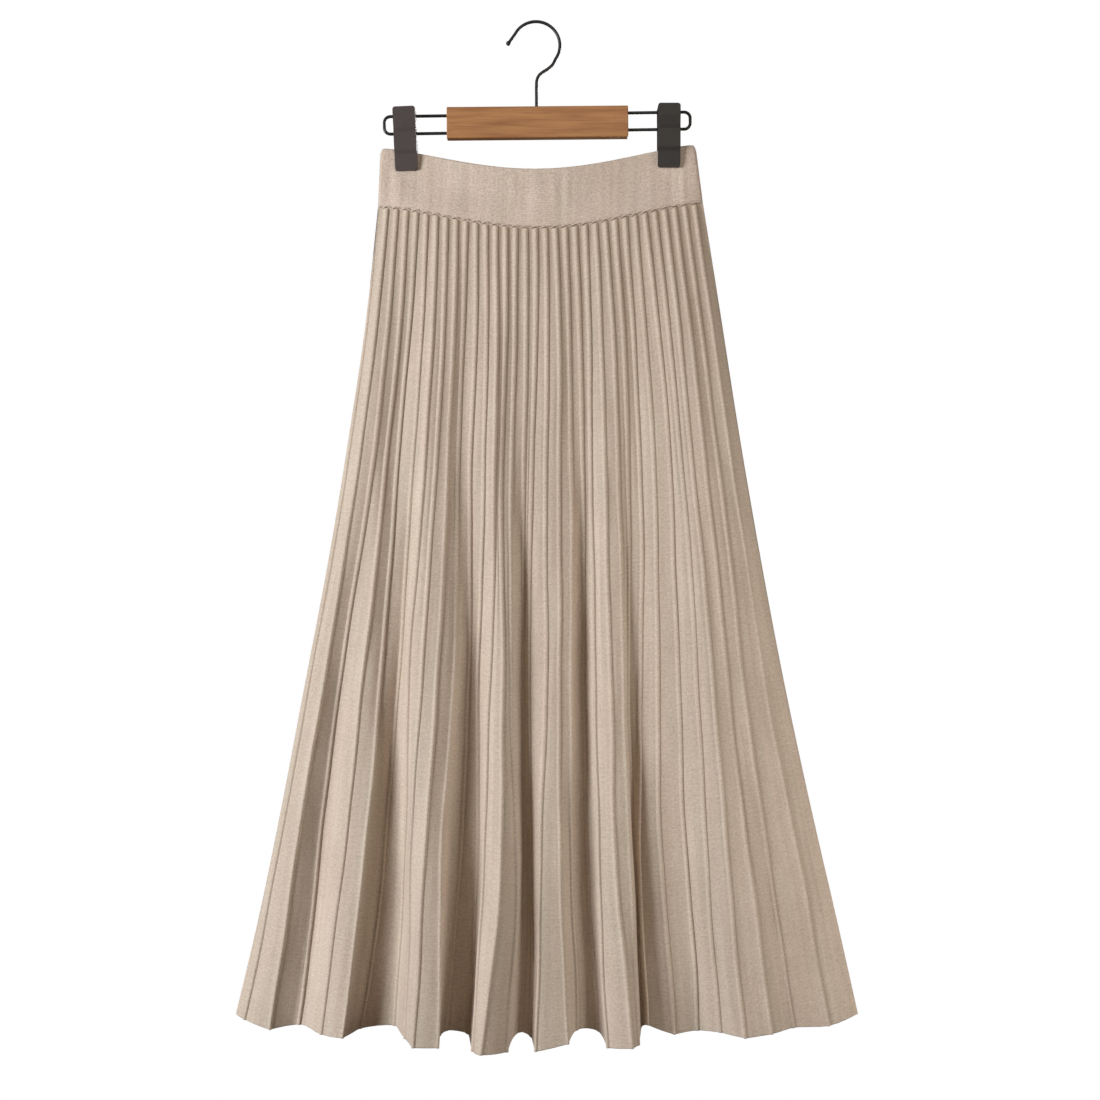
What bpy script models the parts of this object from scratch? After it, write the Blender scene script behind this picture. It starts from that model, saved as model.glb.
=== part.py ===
"""Pleated maxi skirt of ribbed knit, hung by its waistband from a clip hanger.

All sizes are in millimetres until a mesh is made, in metres. +X is to the right
as seen from the front, +Z is up, and the front of the skirt faces -Y. The origin
is the underside of the hook's crown, where a rail carries the hanger.
"""

import math

import bmesh
import bpy
import numpy as np

MM = 0.001
SEAM_GAP = 0.3

# Waistband: its corners, its sag between the clips, and its depth from the middle plane
BAND_TOP_LEFT = (-155.5, -125.5)
BAND_TOP_RIGHT = (159.5, -122.0)
SEAM_LEFT = (-158.0, -184.5)
SEAM_RIGHT = (167.0, -180.5)
BAND_SAG = 24.3
BAND_WALL = 2.0
BAND_COLUMNS = 36
BAND_ROWS = 5
PINCH_DEPTH = 2.6
PINCH_SHARE = 0.42
MOUTH_DEPTH = 9.0
SEAM_DEPTH = 11.0

# Skirt gores: the wall, and the rib that stands on it, at the waist and lower down
KNIT_WALL = 1.4
RIB_FOOT = (6.2, 3.6)
RIB_TOP = (4.0, 1.9)
RIB_RISE = (2.0, 1.3)
RIB_SETTLES = 0.33
RIB_FIRST_AT = 0.003
RIB_SECOND_AT = 0.028
RIB_LAST_AT = 0.974
HEM_CORNER_Z = -990.5
ROW_SHARES = (0, 0.03, 0.09, 0.17, 0.26, 0.35, 0.44, 0.53, 0.62, 0.71, 0.80, 0.88, 0.95, 1)

# Side edges of the hung skirt: share of the way from seam to hem, left x, right x
SIDE_EDGES = (
    (0.00, -158, 167),
    (0.14, -170, 185),
    (0.29, -188, 204),
    (0.44, -208, 225),
    (0.59, -231, 248),
    (0.74, -254, 274),
    (0.89, -279, 302),
    (1.00, -300, 322),
)

# Heights at which the rib tables are given, as shares of the way from seam to hem
RIB_HEIGHTS = (0.0, 0.303, 0.551, 0.80, 1.0)

# Front ribs, left to right. Upper, middle, lower and hem are places across the gore
# in thousandths of its width; out_middle and out_hem are the depths of the crease in
# front of the side edges; drop is how far its hem hangs below the hem's corners.
FRONT_RIBS = (
    # upper, middle, lower, hem, out_middle, out_hem, drop
    (7, 8, 8, 12, 5, 7, 3),
    (33, 33, 40, 56, 16, 22, 9),
    (68, 69, 85, 100, 9, 10, 7),
    (103, 113, 127, 138, 14, 27, 10),
    (131, 151, 167, 172, 22, 46, 10),
    (168, 192, 201, 201, 13, 23, 9),
    (198, 209, 242, 254, 26, 24, 5),
    (225, 239, 250, 270, 34, 50, 8),
    (255, 273, 275, 281, 42, 74, 10),
    (280, 307, 309, 325, 31, 68, 11),
    (315, 339, 339, 339, 19, 40, 4),
    (347, 360, 373, 369, 8, 30, 8),
    (373, 385, 383, 377, 22, 56, 17),
    (392, 411, 412, 394, 36, 82, 16),
    (417, 429, 448, 436, 22, 68, 18),
    (448, 455, 461, 457, 9, 40, 5),
    (469, 467, 471, 473, 5, 24, 10),
    (505, 502, 485, 484, 14, 50, 20),
    (539, 533, 523, 535, 26, 52, 14),
    (567, 559, 547, 547, 14, 24, 5),
    (597, 585, 575, 579, 5, 12, 10),
    (620, 607, 595, 598, 18, 36, 21),
    (655, 640, 627, 640, 32, 54, 18),
    (688, 671, 652, 648, 20, 34, 16),
    (712, 681, 659, 653, 7, 10, 8),
    (741, 707, 670, 659, 15, 26, 4),
    (777, 741, 711, 706, 27, 29, 13),
    (817, 787, 753, 743, 27, 13, 11),
    (847, 823, 793, 780, 35, 30, 9),
    (874, 856, 831, 820, 40, 46, 11),
    (903, 889, 869, 859, 29, 29, 9),
    (935, 920, 905, 894, 17, 11, 7),
    (971, 962, 961, 953, 11, 9, 8),
)

# Back creases, right to left as seen from behind: only the ribs at which the cloth
# turns, by number; the ribs between two of them are spread evenly.
BACK_CREASES = (
    # rib, upper, middle, lower, hem, out_middle, out_hem, drop
    (1, 7, 8, 8, 12, 5, 6, 3),
    (3, 64, 70, 84, 94, 17, 31, 9),
    (5, 128, 130, 131, 132, 7, 12, 6),
    (8, 226, 232, 243, 240, 30, 58, 13),
    (10, 281, 284, 281, 272, 9, 22, 7),
    (13, 371, 372, 366, 372, 33, 66, 14),
    (15, 430, 420, 412, 402, 12, 24, 8),
    (16, 460, 456, 455, 452, 20, 38, 12),
    (18, 512, 520, 528, 539, 34, 64, 14),
    (20, 573, 566, 566, 568, 11, 20, 6),
    (23, 662, 671, 668, 675, 31, 55, 12),
    (25, 722, 720, 716, 706, 13, 26, 7),
    (27, 780, 790, 795, 792, 27, 47, 11),
    (29, 845, 838, 833, 829, 9, 14, 6),
    (31, 900, 903, 905, 905, 19, 34, 10),
    (33, 970, 963, 958, 956, 7, 9, 6),
)

# How far the whole gore bows out from the side edges: at the waist, middle and hem
BOW_UPPER = 13.0
BOW_MIDDLE = 6.0
BOW_HEM = 4.0
BOW_ROUND = 2.5
BOW_FALL = 0.75

# Hanger: wire, hook, bar, arms and clips
WIRE_RADIUS = 1.55
BORE_CLEARANCE = 0.3
HOOK_CENTRE = (0.0, -22.3)
HOOK_RADIUS = 23.85
HOOK_ARC_FROM = -35
HOOK_ARC_TO = 152
HOOK_ARC_STEPS = 17
HOOK_NECK = (
    (0.5, -96.0),
    (0.5, -76.0),
    (0.5, -62.5),
    (0.9, -57.0),
    (2.8, -52.6),
    (6.5, -49.2),
    (12.0, -45.6),
    (16.6, -41.5),
)
HOOK_TIP = (-27.6, -20.2)
TIP_RADIUS = 2.4
BAR_SIZE = (181.0, 11.0, 31.0)
BAR_CENTRE = (1.5, -100.0)
BAR_TILT = 0.5
BAR_EDGE = 0.6
BORE_DEPTH = 14.0
ARM_TILT = 0.85
ARM_CORNER = 6.0
ARM_CORNER_STEPS = 4

# Each arm: side, outer end x, upper wire z and lower wire z where it leaves the bar
ARMS = (
    ("left", -1, -151.6, -92.6, -110.1),
    ("right", 1, 154.2, -89.8, -106.8),
)

# Each clip: side, centre x, top z, lean in degrees
CLIPS = (
    ("left", -131.6, -85.6, 2.4),
    ("right", 132.7, -82.3, 0.0),
)
CLIP_WIDTH = 22.4
CLIP_CORNER = 2.4

# Side outline of a clip's jaw: depth from the middle plane, drop below the clip's top.
# The boss between the arm's two wires is where the jaws meet and rock on each other.
JAW_OUTLINE = (
    (4.2, 0.0),
    (9.6, 0.0),
    (9.8, 12.0),
    (8.0, 21.0),
    (8.6, 25.0),
    (8.6, 43.0),
    (7.2, 47.0),
    (5.6, 63.0),
    (2.9, 63.0),
    (2.9, 37.0),
    (1.9, 34.0),
    (1.9, 21.0),
    (0.2, 20.0),
    (0.2, 12.0),
    (1.9, 11.0),
    (1.9, 4.0),
)

KNIT_COLOUR = (0.66, 0.54, 0.42)
WOOD_COLOUR = (0.42, 0.20, 0.09)
WIRE_COLOUR = (0.02, 0.02, 0.02)
CLIP_COLOUR = (0.06, 0.045, 0.04)


def clear_scene():
    """Remove every object that a new Blender file holds."""
    for thing in list(bpy.data.objects):
        bpy.data.objects.remove(thing, do_unlink=True)


def finish(name, colour, roughness, metallic=0.0):
    """One plain Principled finish."""
    made = bpy.data.materials.new(name)
    made.use_nodes = True
    shader = made.node_tree.nodes["Principled BSDF"]
    shader.inputs["Base Color"].default_value = (*colour, 1.0)
    shader.inputs["Roughness"].default_value = roughness
    shader.inputs["Metallic"].default_value = metallic
    return made


def place(name, mesh, material):
    """Put a mesh in the scene under its node's name."""
    mesh.materials.append(material)
    thing = bpy.data.objects.new(name, mesh)
    bpy.context.scene.collection.objects.link(thing)
    return thing


def mesh_from(name, points, faces):
    """A mesh in metres from points in millimetres."""
    mesh = bpy.data.meshes.new(name)
    mesh.from_pydata([tuple(p) for p in np.asarray(points, float) * MM], [], faces)
    mesh.update()
    return mesh


def curve_through(knots, values, wanted):
    """A smooth curve through the values given at the knots, for every column at once."""
    knots = np.asarray(knots, float)
    values = np.asarray(values, float)
    slopes = np.gradient(values, knots, axis=0)
    cell = np.clip(np.searchsorted(knots, wanted, side="right") - 1, 0, len(knots) - 2)
    width = knots[cell + 1] - knots[cell]
    t = (wanted - knots[cell]) / width
    shape = (-1,) + (1,) * (values.ndim - 1)
    t = t.reshape(shape)
    width = width.reshape(shape)
    start = (1 + 2 * t) * (1 - t) ** 2 * values[cell] + t * (1 - t) ** 2 * width * slopes[cell]
    end = t ** 2 * (3 - 2 * t) * values[cell + 1] + t ** 2 * (t - 1) * width * slopes[cell + 1]
    return start + end


def sag_share(u):
    """How much of the sag the waist line has, 0 at both ends and 1 midway."""
    return (0.5 + 0.5 * np.cos(math.pi * (2 * u - 1))) ** 0.72


def bow_share(u):
    """The rounded lens of a gore in plan, 0 at the side edges and 1 midway."""
    return np.maximum(1 - np.abs(2 * u - 1) ** BOW_ROUND, 0) ** BOW_FALL


def waist_line(left, right, u):
    """A sagging line between two corners: x and z at each share u of the way across."""
    x = left[0] + (right[0] - left[0]) * u
    z = left[1] + (right[1] - left[1]) * u - BAND_SAG * sag_share(u)
    return x, z


def all_back_ribs():
    """The back's ribs, with those between two creases spread evenly."""
    table = np.array(BACK_CREASES, float)
    numbers = np.arange(1, len(FRONT_RIBS) + 1)
    columns = [np.interp(numbers, table[:, 0], table[:, k]) for k in range(1, table.shape[1])]
    return np.stack(columns, axis=1)


def gore_creases(ribs, side):
    """The creases of one gore as rows of points, the side edges included.

    Every row runs from the left edge to the right edge. side is -1 at the front and
    +1 at the back.
    """
    ribs = np.asarray(ribs, float)
    count = len(ribs)
    first = np.array([RIB_FIRST_AT])
    top = np.concatenate([first, np.linspace(RIB_SECOND_AT, RIB_LAST_AT, count - 1)])
    across = np.vstack([top, ribs[:, 0:4].T / 1000])
    ends = np.zeros((len(across), 1))
    across = np.hstack([ends, across, ends + 1])
    out_middle = np.concatenate([[0], ribs[:, 4], [0]])
    out_hem = np.concatenate([[0], ribs[:, 5], [0]])
    drop = np.concatenate([[0], ribs[:, 6], [0]])
    depth_middle = out_middle + BOW_MIDDLE * bow_share(across[2])
    depth_hem = out_hem + BOW_HEM * bow_share(across[4])
    depth = np.array([
        SEAM_DEPTH * bow_share(across[0]),
        0.5 * depth_middle + 0.5 * BOW_UPPER * bow_share(across[1]),
        depth_middle,
        0.4 * depth_middle + 0.6 * depth_hem,
        depth_hem,
    ])
    rows = np.array(ROW_SHARES)
    u = curve_through(RIB_HEIGHTS, across, rows)
    out = curve_through(RIB_HEIGHTS, depth, rows)
    out[:, 0] = 0
    out[:, -1] = 0
    edges = np.array(SIDE_EDGES, float)
    sides = curve_through(edges[:, 0], edges[:, 1:], rows)
    x = sides[:, :1] + (sides[:, 1:] - sides[:, :1]) * u
    seam_z = waist_line(SEAM_LEFT, SEAM_RIGHT, across[0])[1]
    hem_z = HEM_CORNER_Z - drop
    z = seam_z + (hem_z - seam_z) * rows[:, None]
    y = side * (out + SEAM_GAP / 2)
    return np.stack([x, y, z], axis=-1)


def crease_normals(creases, side):
    """The outward direction in plan at each crease, and how sharply the cloth turns there."""
    run = np.diff(creases, axis=1)
    run /= np.linalg.norm(run[..., :2], axis=-1, keepdims=True)
    normal = np.stack([run[..., 1], -run[..., 0]], axis=-1) * -side
    before = np.concatenate([normal[:, :1], normal], axis=1)
    after = np.concatenate([normal, normal[:, -1:]], axis=1)
    mean = before + after
    length = np.linalg.norm(mean, axis=-1, keepdims=True)
    mean /= length
    turn = before[..., 0] * after[..., 1] - before[..., 1] * after[..., 0]
    return mean, length[..., 0] / 2, turn * side, run


def pleated_gore(name, ribs, side, material):
    """One gore: a plain wall inside, with a raised rib on every crease outside."""
    creases = gore_creases(ribs, side)
    rows, count = creases.shape[:2]
    normal, half_cosine, turn, run = crease_normals(creases, side)
    shares = np.array(ROW_SHARES)
    settle = np.clip(shares / RIB_SETTLES, 0, 1)[:, None]
    settle = settle * settle * (3 - 2 * settle)
    foot = RIB_FOOT[0] + (RIB_FOOT[1] - RIB_FOOT[0]) * settle
    top = RIB_TOP[0] + (RIB_TOP[1] - RIB_TOP[0]) * settle
    rise = RIB_RISE[0] + (RIB_RISE[1] - RIB_RISE[0]) * settle
    gaps = np.linalg.norm(np.diff(creases[..., :2], axis=1), axis=-1)
    room = 0.8 * np.minimum(gaps[:, :-1], gaps[:, 1:])
    share = np.minimum(1, room / foot)
    valley = np.clip(1.25 * half_cosine[:, 1:-1] - 0.25, 0.05, 1)
    share_up = np.where(turn[:, 1:-1] > 0, valley, 1) * share
    inner = creases[:, 1:-1]
    back_step = -run[:, :-1]
    ahead_step = run[:, 1:]
    lift = np.zeros_like(inner)
    lift[..., :2] = normal[:, 1:-1] * (rise * share_up)[..., None]
    half_foot = (foot * share / 2)[..., None]
    half_top = (top * share / 2)[..., None]
    ring = (
        inner + back_step * half_foot,
        inner + back_step * half_top + lift,
        inner + ahead_step * half_top + lift,
        inner + ahead_step * half_foot,
    )
    ribbed = np.stack(ring, axis=2).reshape(rows, -1, 3)
    outer = np.concatenate([creases[:, :1], ribbed, creases[:, -1:]], axis=1)
    inside = creases.copy()
    reach = np.minimum(1 / np.maximum(half_cosine, 0.4), 1.6)[..., None]
    inside[..., :2] -= normal * KNIT_WALL * reach
    inside[:, 0] = creases[:, 0] + np.array([KNIT_WALL, 0, 0])
    inside[:, -1] = creases[:, -1] - np.array([KNIT_WALL, 0, 0])
    inside[..., 1] = side * np.maximum(side * inside[..., 1], SEAM_GAP / 2)
    return place(name, gore_mesh(name, outer, inside, side), material)


def gore_mesh(name, outer, inside, side):
    """Close the ribbed outer sheet and the plain inner sheet into one wall."""
    rows, across = outer.shape[:2]
    inner_across = inside.shape[1]
    points = np.concatenate([outer.reshape(-1, 3), inside.reshape(-1, 3)])
    base = rows * across
    faces = []

    def out_at(row, column):
        return row * across + column

    def in_at(row, column):
        return base + row * inner_across + column

    for row in range(rows - 1):
        for column in range(across - 1):
            a, b = out_at(row, column), out_at(row, column + 1)
            c, d = out_at(row + 1, column + 1), out_at(row + 1, column)
            faces += [(a, d, c), (a, c, b)]
        for column in range(inner_across - 1):
            a, b = in_at(row, column), in_at(row, column + 1)
            c, d = in_at(row + 1, column + 1), in_at(row + 1, column)
            faces += [(a, b, c), (a, c, d)]
        faces += [
            (out_at(row, 0), in_at(row, 0), in_at(row + 1, 0)),
            (out_at(row, 0), in_at(row + 1, 0), out_at(row + 1, 0)),
        ]
        a, b = out_at(row, across - 1), in_at(row, inner_across - 1)
        c, d = in_at(row + 1, inner_across - 1), out_at(row + 1, across - 1)
        faces += [(a, d, c), (a, c, b)]
    for row, flip in ((0, False), (rows - 1, True)):
        rim = []
        for crease in range(inner_across - 1):
            start = 0 if crease == 0 else 4 * crease
            end = start + 1
            a, b = out_at(row, start), out_at(row, end)
            c, d = in_at(row, crease + 1), in_at(row, crease)
            rim += [(a, b, c), (a, c, d)]
            if crease < inner_across - 2:
                for k in range(3):
                    rim.append((out_at(row, end + k), out_at(row, end + k + 1), c))
        faces += [tuple(reversed(face)) for face in rim] if flip else rim
    if side > 0:
        faces = [tuple(reversed(face)) for face in faces]
    return mesh_from(name, points, faces)


def band_depth(u, k):
    """Depth of the waistband's outer face: pinched flat at the clips, a lens at the seam."""
    between = np.clip((u - 0.12) / 0.76, 0, 1)
    mouth = PINCH_DEPTH + MOUTH_DEPTH * np.sin(math.pi * between) ** 1.3
    round_end = np.minimum(1, np.sqrt(np.clip(1 - np.abs(2 * u - 1) ** 40, 0, 1)))
    pinched = mouth * round_end
    seam = SEAM_DEPTH * bow_share(u) + 0.9 * round_end
    blend = np.clip((k - PINCH_SHARE) / (1 - PINCH_SHARE), 0, 1)
    blend = blend * blend * (3 - 2 * blend)
    return pinched * (1 - blend) + seam * blend


def band_points(inset):
    """Rows of points round the waistband, from its top edge down to the seam."""
    t = np.linspace(0, 1, BAND_COLUMNS + 1)
    across = 0.5 - 0.5 * np.cos(math.pi * t)
    across = 0.35 * across + 0.65 * t
    levels = np.linspace(0, 1, BAND_ROWS)
    rows = []
    for k in levels:
        top_x, top_z = waist_line(BAND_TOP_LEFT, BAND_TOP_RIGHT, across)
        low_x, low_z = waist_line(SEAM_LEFT, SEAM_RIGHT, across)
        low_z = low_z + SEAM_GAP
        x = top_x + (low_x - top_x) * k
        z = top_z + (low_z - top_z) * k
        middle = (x[0] + x[-1]) / 2
        half = (x[-1] - x[0]) / 2
        x_in = middle + (x - middle) * (half - inset) / half
        depth = np.maximum(band_depth(across, k) - inset, 0)
        depth[1:-1] = np.maximum(depth[1:-1], 0.35)
        front = np.stack([x_in, -depth, z], axis=-1)
        back = np.stack([x_in, depth, z], axis=-1)[-2:0:-1]
        rows.append(np.concatenate([front, back]))
    return np.array(rows)


def waistband(material):
    """The folded band: a closed tube of knit with an open mouth."""
    outer = band_points(0.0)
    inner = band_points(BAND_WALL)
    rows, around = outer.shape[:2]
    points = np.concatenate([outer.reshape(-1, 3), inner.reshape(-1, 3)])
    base = rows * around
    faces = []
    for column in range(around):
        step = (column + 1) % around
        for row in range(rows - 1):
            a, b = row * around + column, row * around + step
            c, d = b + around, a + around
            faces += [(a, d, c), (a, c, b)]
            faces += [(base + a, base + c, base + d), (base + a, base + b, base + c)]
        faces += [(column, step, base + step), (column, base + step, base + column)]
        low = (rows - 1) * around
        a, b = low + column, low + step
        faces += [(a, base + b, b), (a, base + a, base + b)]
    return place("waistband", mesh_from("waistband", points, faces), material)


def bent_wire(name, route, radius, material):
    """A round wire along a route in the X-Z plane, with flat ends."""
    curve = bpy.data.curves.new(name, "CURVE")
    curve.dimensions = "3D"
    curve.bevel_depth = radius * MM
    curve.bevel_resolution = 2
    curve.use_fill_caps = True
    spline = curve.splines.new("POLY")
    spline.points.add(len(route) - 1)
    for point, (x, z) in zip(spline.points, route):
        point.co = (x * MM, 0, z * MM, 1)
    guide = bpy.data.objects.new(name + "_route", curve)
    bpy.context.scene.collection.objects.link(guide)
    bpy.context.view_layer.update()
    mesh = bpy.data.meshes.new_from_object(guide)
    bpy.data.objects.remove(guide, do_unlink=True)
    mesh.materials.clear()
    return place(name, mesh, material)


def hook(material):
    """Straight neck in the bar, an S-bend, then the round crown, ending in a small ball."""
    angles = np.radians(np.linspace(HOOK_ARC_FROM, HOOK_ARC_TO, HOOK_ARC_STEPS))
    route = list(HOOK_NECK)
    for angle in angles:
        x = HOOK_CENTRE[0] + HOOK_RADIUS * math.cos(angle)
        z = HOOK_CENTRE[1] + HOOK_RADIUS * math.sin(angle)
        route.append((x, z))
    route.append(HOOK_TIP)
    wire = bent_wire("hook", route, WIRE_RADIUS, material)
    ball = bmesh.new()
    bmesh.ops.create_icosphere(ball, subdivisions=2, radius=TIP_RADIUS * MM)
    bmesh.ops.translate(ball, verts=ball.verts, vec=(HOOK_TIP[0] * MM, 0, HOOK_TIP[1] * MM))
    mesh = bpy.data.meshes.new("hook_ball")
    ball.to_mesh(mesh)
    ball.free()
    return join_solids(wire, mesh, "UNION")


def join_solids(body, mesh, operation):
    """Unite a body with a mesh, or cut it by the mesh, and keep the result on the body."""
    tool = bpy.data.objects.new(body.name + "_tool", mesh)
    tool.hide_render = True
    tool.display_type = "WIRE"
    bpy.context.scene.collection.objects.link(tool)
    change = body.modifiers.new(operation.title(), "BOOLEAN")
    change.operation = operation
    change.solver = "EXACT"
    change.object = tool
    bpy.context.view_layer.update()
    seen = body.evaluated_get(bpy.context.evaluated_depsgraph_get())
    made = bpy.data.meshes.new_from_object(seen)
    body.modifiers.clear()
    body.data = made
    bpy.data.objects.remove(tool, do_unlink=True)
    return body


def cylinder_mesh(name, radius, start, end, sides):
    """A closed cylinder between two points."""
    start = np.asarray(start, float)
    end = np.asarray(end, float)
    axis = (end - start) / np.linalg.norm(end - start)
    guide = np.array([0.0, 1.0, 0.0]) if abs(axis[1]) < 0.9 else np.array([1.0, 0.0, 0.0])
    right = np.cross(axis, guide)
    right /= np.linalg.norm(right)
    up = np.cross(right, axis)
    angles = np.linspace(0, 2 * math.pi, sides, endpoint=False)
    ring = radius * (np.cos(angles)[:, None] * right + np.sin(angles)[:, None] * up)
    points = np.concatenate([start + ring, end + ring])
    faces = [tuple(range(sides)), tuple(reversed(range(sides, 2 * sides)))]
    for k in range(sides):
        step = (k + 1) % sides
        faces.append((k, k + sides, step + sides, step))
    mesh = mesh_from(name, points, faces)
    solid = bmesh.new()
    solid.from_mesh(mesh)
    bmesh.ops.recalc_face_normals(solid, faces=solid.faces)
    solid.to_mesh(mesh)
    solid.free()
    return mesh


def tilted(x, z, degrees, about):
    """A point in the X-Z plane turned about another point."""
    angle = math.radians(degrees)
    dx, dz = x - about[0], z - about[1]
    return (
        about[0] + dx * math.cos(angle) - dz * math.sin(angle),
        about[1] + dx * math.sin(angle) + dz * math.cos(angle),
    )


def box_solid(name, size, edge):
    """A box about the origin with small bevelled edges."""
    solid = bmesh.new()
    bmesh.ops.create_cube(solid, size=1)
    bmesh.ops.scale(solid, verts=solid.verts, vec=tuple(s * MM for s in size))
    bmesh.ops.bevel(solid, geom=solid.edges[:], offset=edge * MM, segments=1, affect="EDGES")
    mesh = bpy.data.meshes.new(name)
    solid.to_mesh(mesh)
    solid.free()
    return mesh


def move_in_plane(mesh, centre, degrees):
    """Turn a mesh about Y and move it, so that its object stays at the origin."""
    for vertex in mesh.vertices:
        x, z = tilted(vertex.co.x, vertex.co.z, degrees, (0, 0))
        vertex.co.x = x + centre[0] * MM
        vertex.co.z = z + centre[1] * MM
    mesh.update()


def arm_route(side, outer, upper, lower):
    """One arm from its upper end inside the bar, round its outer end and back."""
    inner = BAR_CENTRE[0] + side * (BAR_SIZE[0] / 2 - BORE_DEPTH + 2)
    half = abs(outer - inner) - ARM_CORNER
    height = upper - lower
    middle = (upper + lower) / 2
    route = [(0.0, height / 2), (half / 2, height / 2)]
    for start, centre_z in ((90, height / 2 - ARM_CORNER), (0, -height / 2 + ARM_CORNER)):
        for k in range(ARM_CORNER_STEPS + 1):
            angle = math.radians(start - 90 * k / ARM_CORNER_STEPS)
            route.append((half + ARM_CORNER * math.cos(angle), centre_z + ARM_CORNER * math.sin(angle)))
    route += [(half / 2, -height / 2), (0.0, -height / 2)]
    placed = [(inner + side * x, middle + z) for x, z in route]
    root = (BAR_CENTRE[0] + side * BAR_SIZE[0] / 2, middle)
    return [tilted(x, z, ARM_TILT, root) for x, z in placed]


def wood_bar(material):
    """The bar, with a bore for the hook's neck and two in each end for the arms."""
    mesh = box_solid("wood_bar", BAR_SIZE, BAR_EDGE)
    move_in_plane(mesh, BAR_CENTRE, BAR_TILT)
    bar = place("wood_bar", mesh, material)
    bore = WIRE_RADIUS + BORE_CLEARANCE
    neck_x, neck_z = HOOK_NECK[0]
    above = neck_z + BAR_SIZE[2]
    cuts = [((neck_x, 0, neck_z - BORE_CLEARANCE), (neck_x, 0, above))]
    for _, side, outer, upper, lower in ARMS:
        route = arm_route(side, outer, upper, lower)
        for inner_end, next_point in ((route[0], route[1]), (route[-1], route[-2])):
            run = np.array(next_point) - np.array(inner_end)
            run /= np.linalg.norm(run)
            start = np.array(inner_end) - run * BORE_CLEARANCE
            end = np.array(inner_end) + run * 2 * BORE_DEPTH
            cuts.append(((start[0], 0, start[1]), (end[0], 0, end[1])))
    for start, end in cuts:
        join_solids(bar, cylinder_mesh("bore", bore, start, end, 10), "DIFFERENCE")
    return bar


def clip_jaw(name, face, clip, material):
    """One jaw: its side outline carried across the clip's width, with rounded corners."""
    _, centre, top, lean = clip
    outline = [(depth, -drop) for depth, drop in JAW_OUTLINE]
    half = CLIP_WIDTH / 2
    points = [(x, face * depth, z) for x in (-half, half) for depth, z in outline]
    count = len(outline)
    faces = [tuple(range(count)), tuple(reversed(range(count, 2 * count)))]
    for k in range(count):
        step = (k + 1) % count
        faces.append((k, k + count, step + count, step))
    mesh = mesh_from(name, points, faces)
    solid = bmesh.new()
    solid.from_mesh(mesh)
    bmesh.ops.recalc_face_normals(solid, faces=solid.faces)
    corners = [
        edge for edge in solid.edges
        if abs(edge.verts[0].co.x - edge.verts[1].co.x) < 1e-6
        and abs(edge.verts[0].co.z - edge.verts[1].co.z) < 1e-6
    ]
    bmesh.ops.bevel(solid, geom=corners, offset=CLIP_CORNER * MM, segments=2, affect="EDGES", profile=0.5)
    bmesh.ops.triangulate(solid, faces=solid.faces[:])
    solid.to_mesh(mesh)
    solid.free()
    move_in_plane(mesh, (centre, top), lean)
    return place(name, mesh, material)


def build():
    """Every piece of the skirt and its hanger."""
    clear_scene()
    knit = finish("knit", KNIT_COLOUR, 0.85)
    wood = finish("wood", WOOD_COLOUR, 0.5)
    wire = finish("wire", WIRE_COLOUR, 0.4, 0.6)
    plastic = finish("clip_plastic", CLIP_COLOUR, 0.45)
    waistband(knit)
    pleated_gore("skirt_front", FRONT_RIBS, -1, knit)
    pleated_gore("skirt_back", all_back_ribs(), 1, knit)
    wood_bar(wood)
    hook(wire)
    for side_name, side, outer, upper, lower in ARMS:
        bent_wire("wire_loop_" + side_name, arm_route(side, outer, upper, lower), WIRE_RADIUS, wire)
    for clip in CLIPS:
        clip_jaw("clip_" + clip[0] + "_front", -1, clip, plastic)
        clip_jaw("clip_" + clip[0] + "_back", 1, clip, plastic)


build()
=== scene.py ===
"""The pleated maxi skirt on its clip hanger, dressed for its picture.

Tables and shape functions are in millimetres, meshes and lights in metres. +X is to the
right as seen from the front, +Z is up, and the front of the skirt faces -Y. The origin is
the underside of the hook's crown.
"""

import math

import bpy
import numpy as np
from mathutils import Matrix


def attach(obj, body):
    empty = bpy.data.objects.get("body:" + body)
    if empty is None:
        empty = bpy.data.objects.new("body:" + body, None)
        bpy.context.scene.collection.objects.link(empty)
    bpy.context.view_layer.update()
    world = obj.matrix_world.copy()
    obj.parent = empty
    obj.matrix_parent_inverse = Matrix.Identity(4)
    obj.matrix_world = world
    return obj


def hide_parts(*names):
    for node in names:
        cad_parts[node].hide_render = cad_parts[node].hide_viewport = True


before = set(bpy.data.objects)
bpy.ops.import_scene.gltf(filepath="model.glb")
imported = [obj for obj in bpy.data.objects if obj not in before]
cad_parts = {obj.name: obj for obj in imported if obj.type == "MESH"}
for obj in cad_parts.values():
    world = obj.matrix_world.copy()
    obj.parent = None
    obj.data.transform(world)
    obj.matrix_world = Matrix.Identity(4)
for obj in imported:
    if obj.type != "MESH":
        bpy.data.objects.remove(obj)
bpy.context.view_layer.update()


# The knit: one fine beige yarn in plain stitch, for the band and for both gores.
# Small V stitches stand up as bump, and the yarn's own unevenness gives the speckle.
MM = 0.001
WALE_WIDTH = 2.0 * MM
COURSE_HEIGHT = 1.8 * MM
KNIT_BEIGE = (0.77, 0.66, 0.555, 1)
KNIT_SHADED = (0.50, 0.40, 0.32, 1)
# The colour of the painted shade in the rib grooves and in the sunk bands of the close ribbing
KNIT_PAINTED_SHADE = (0.40, 0.305, 0.225, 1)
KNIT_TINTS = ((1.04, 0.97, 0.97, 1), (0.96, 1.02, 0.97, 1))
STITCH_LEAN = 0.9
STITCH_BUMP = 0.30 * MM
FUZZ_HEIGHT = 0.8


def node(tree, kind, name, **settings):
    """One shader node; settings are its own properties."""
    made = tree.nodes.new(kind)
    made.name = name
    for key, value in settings.items():
        setattr(made, key, value)
    return made


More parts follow.
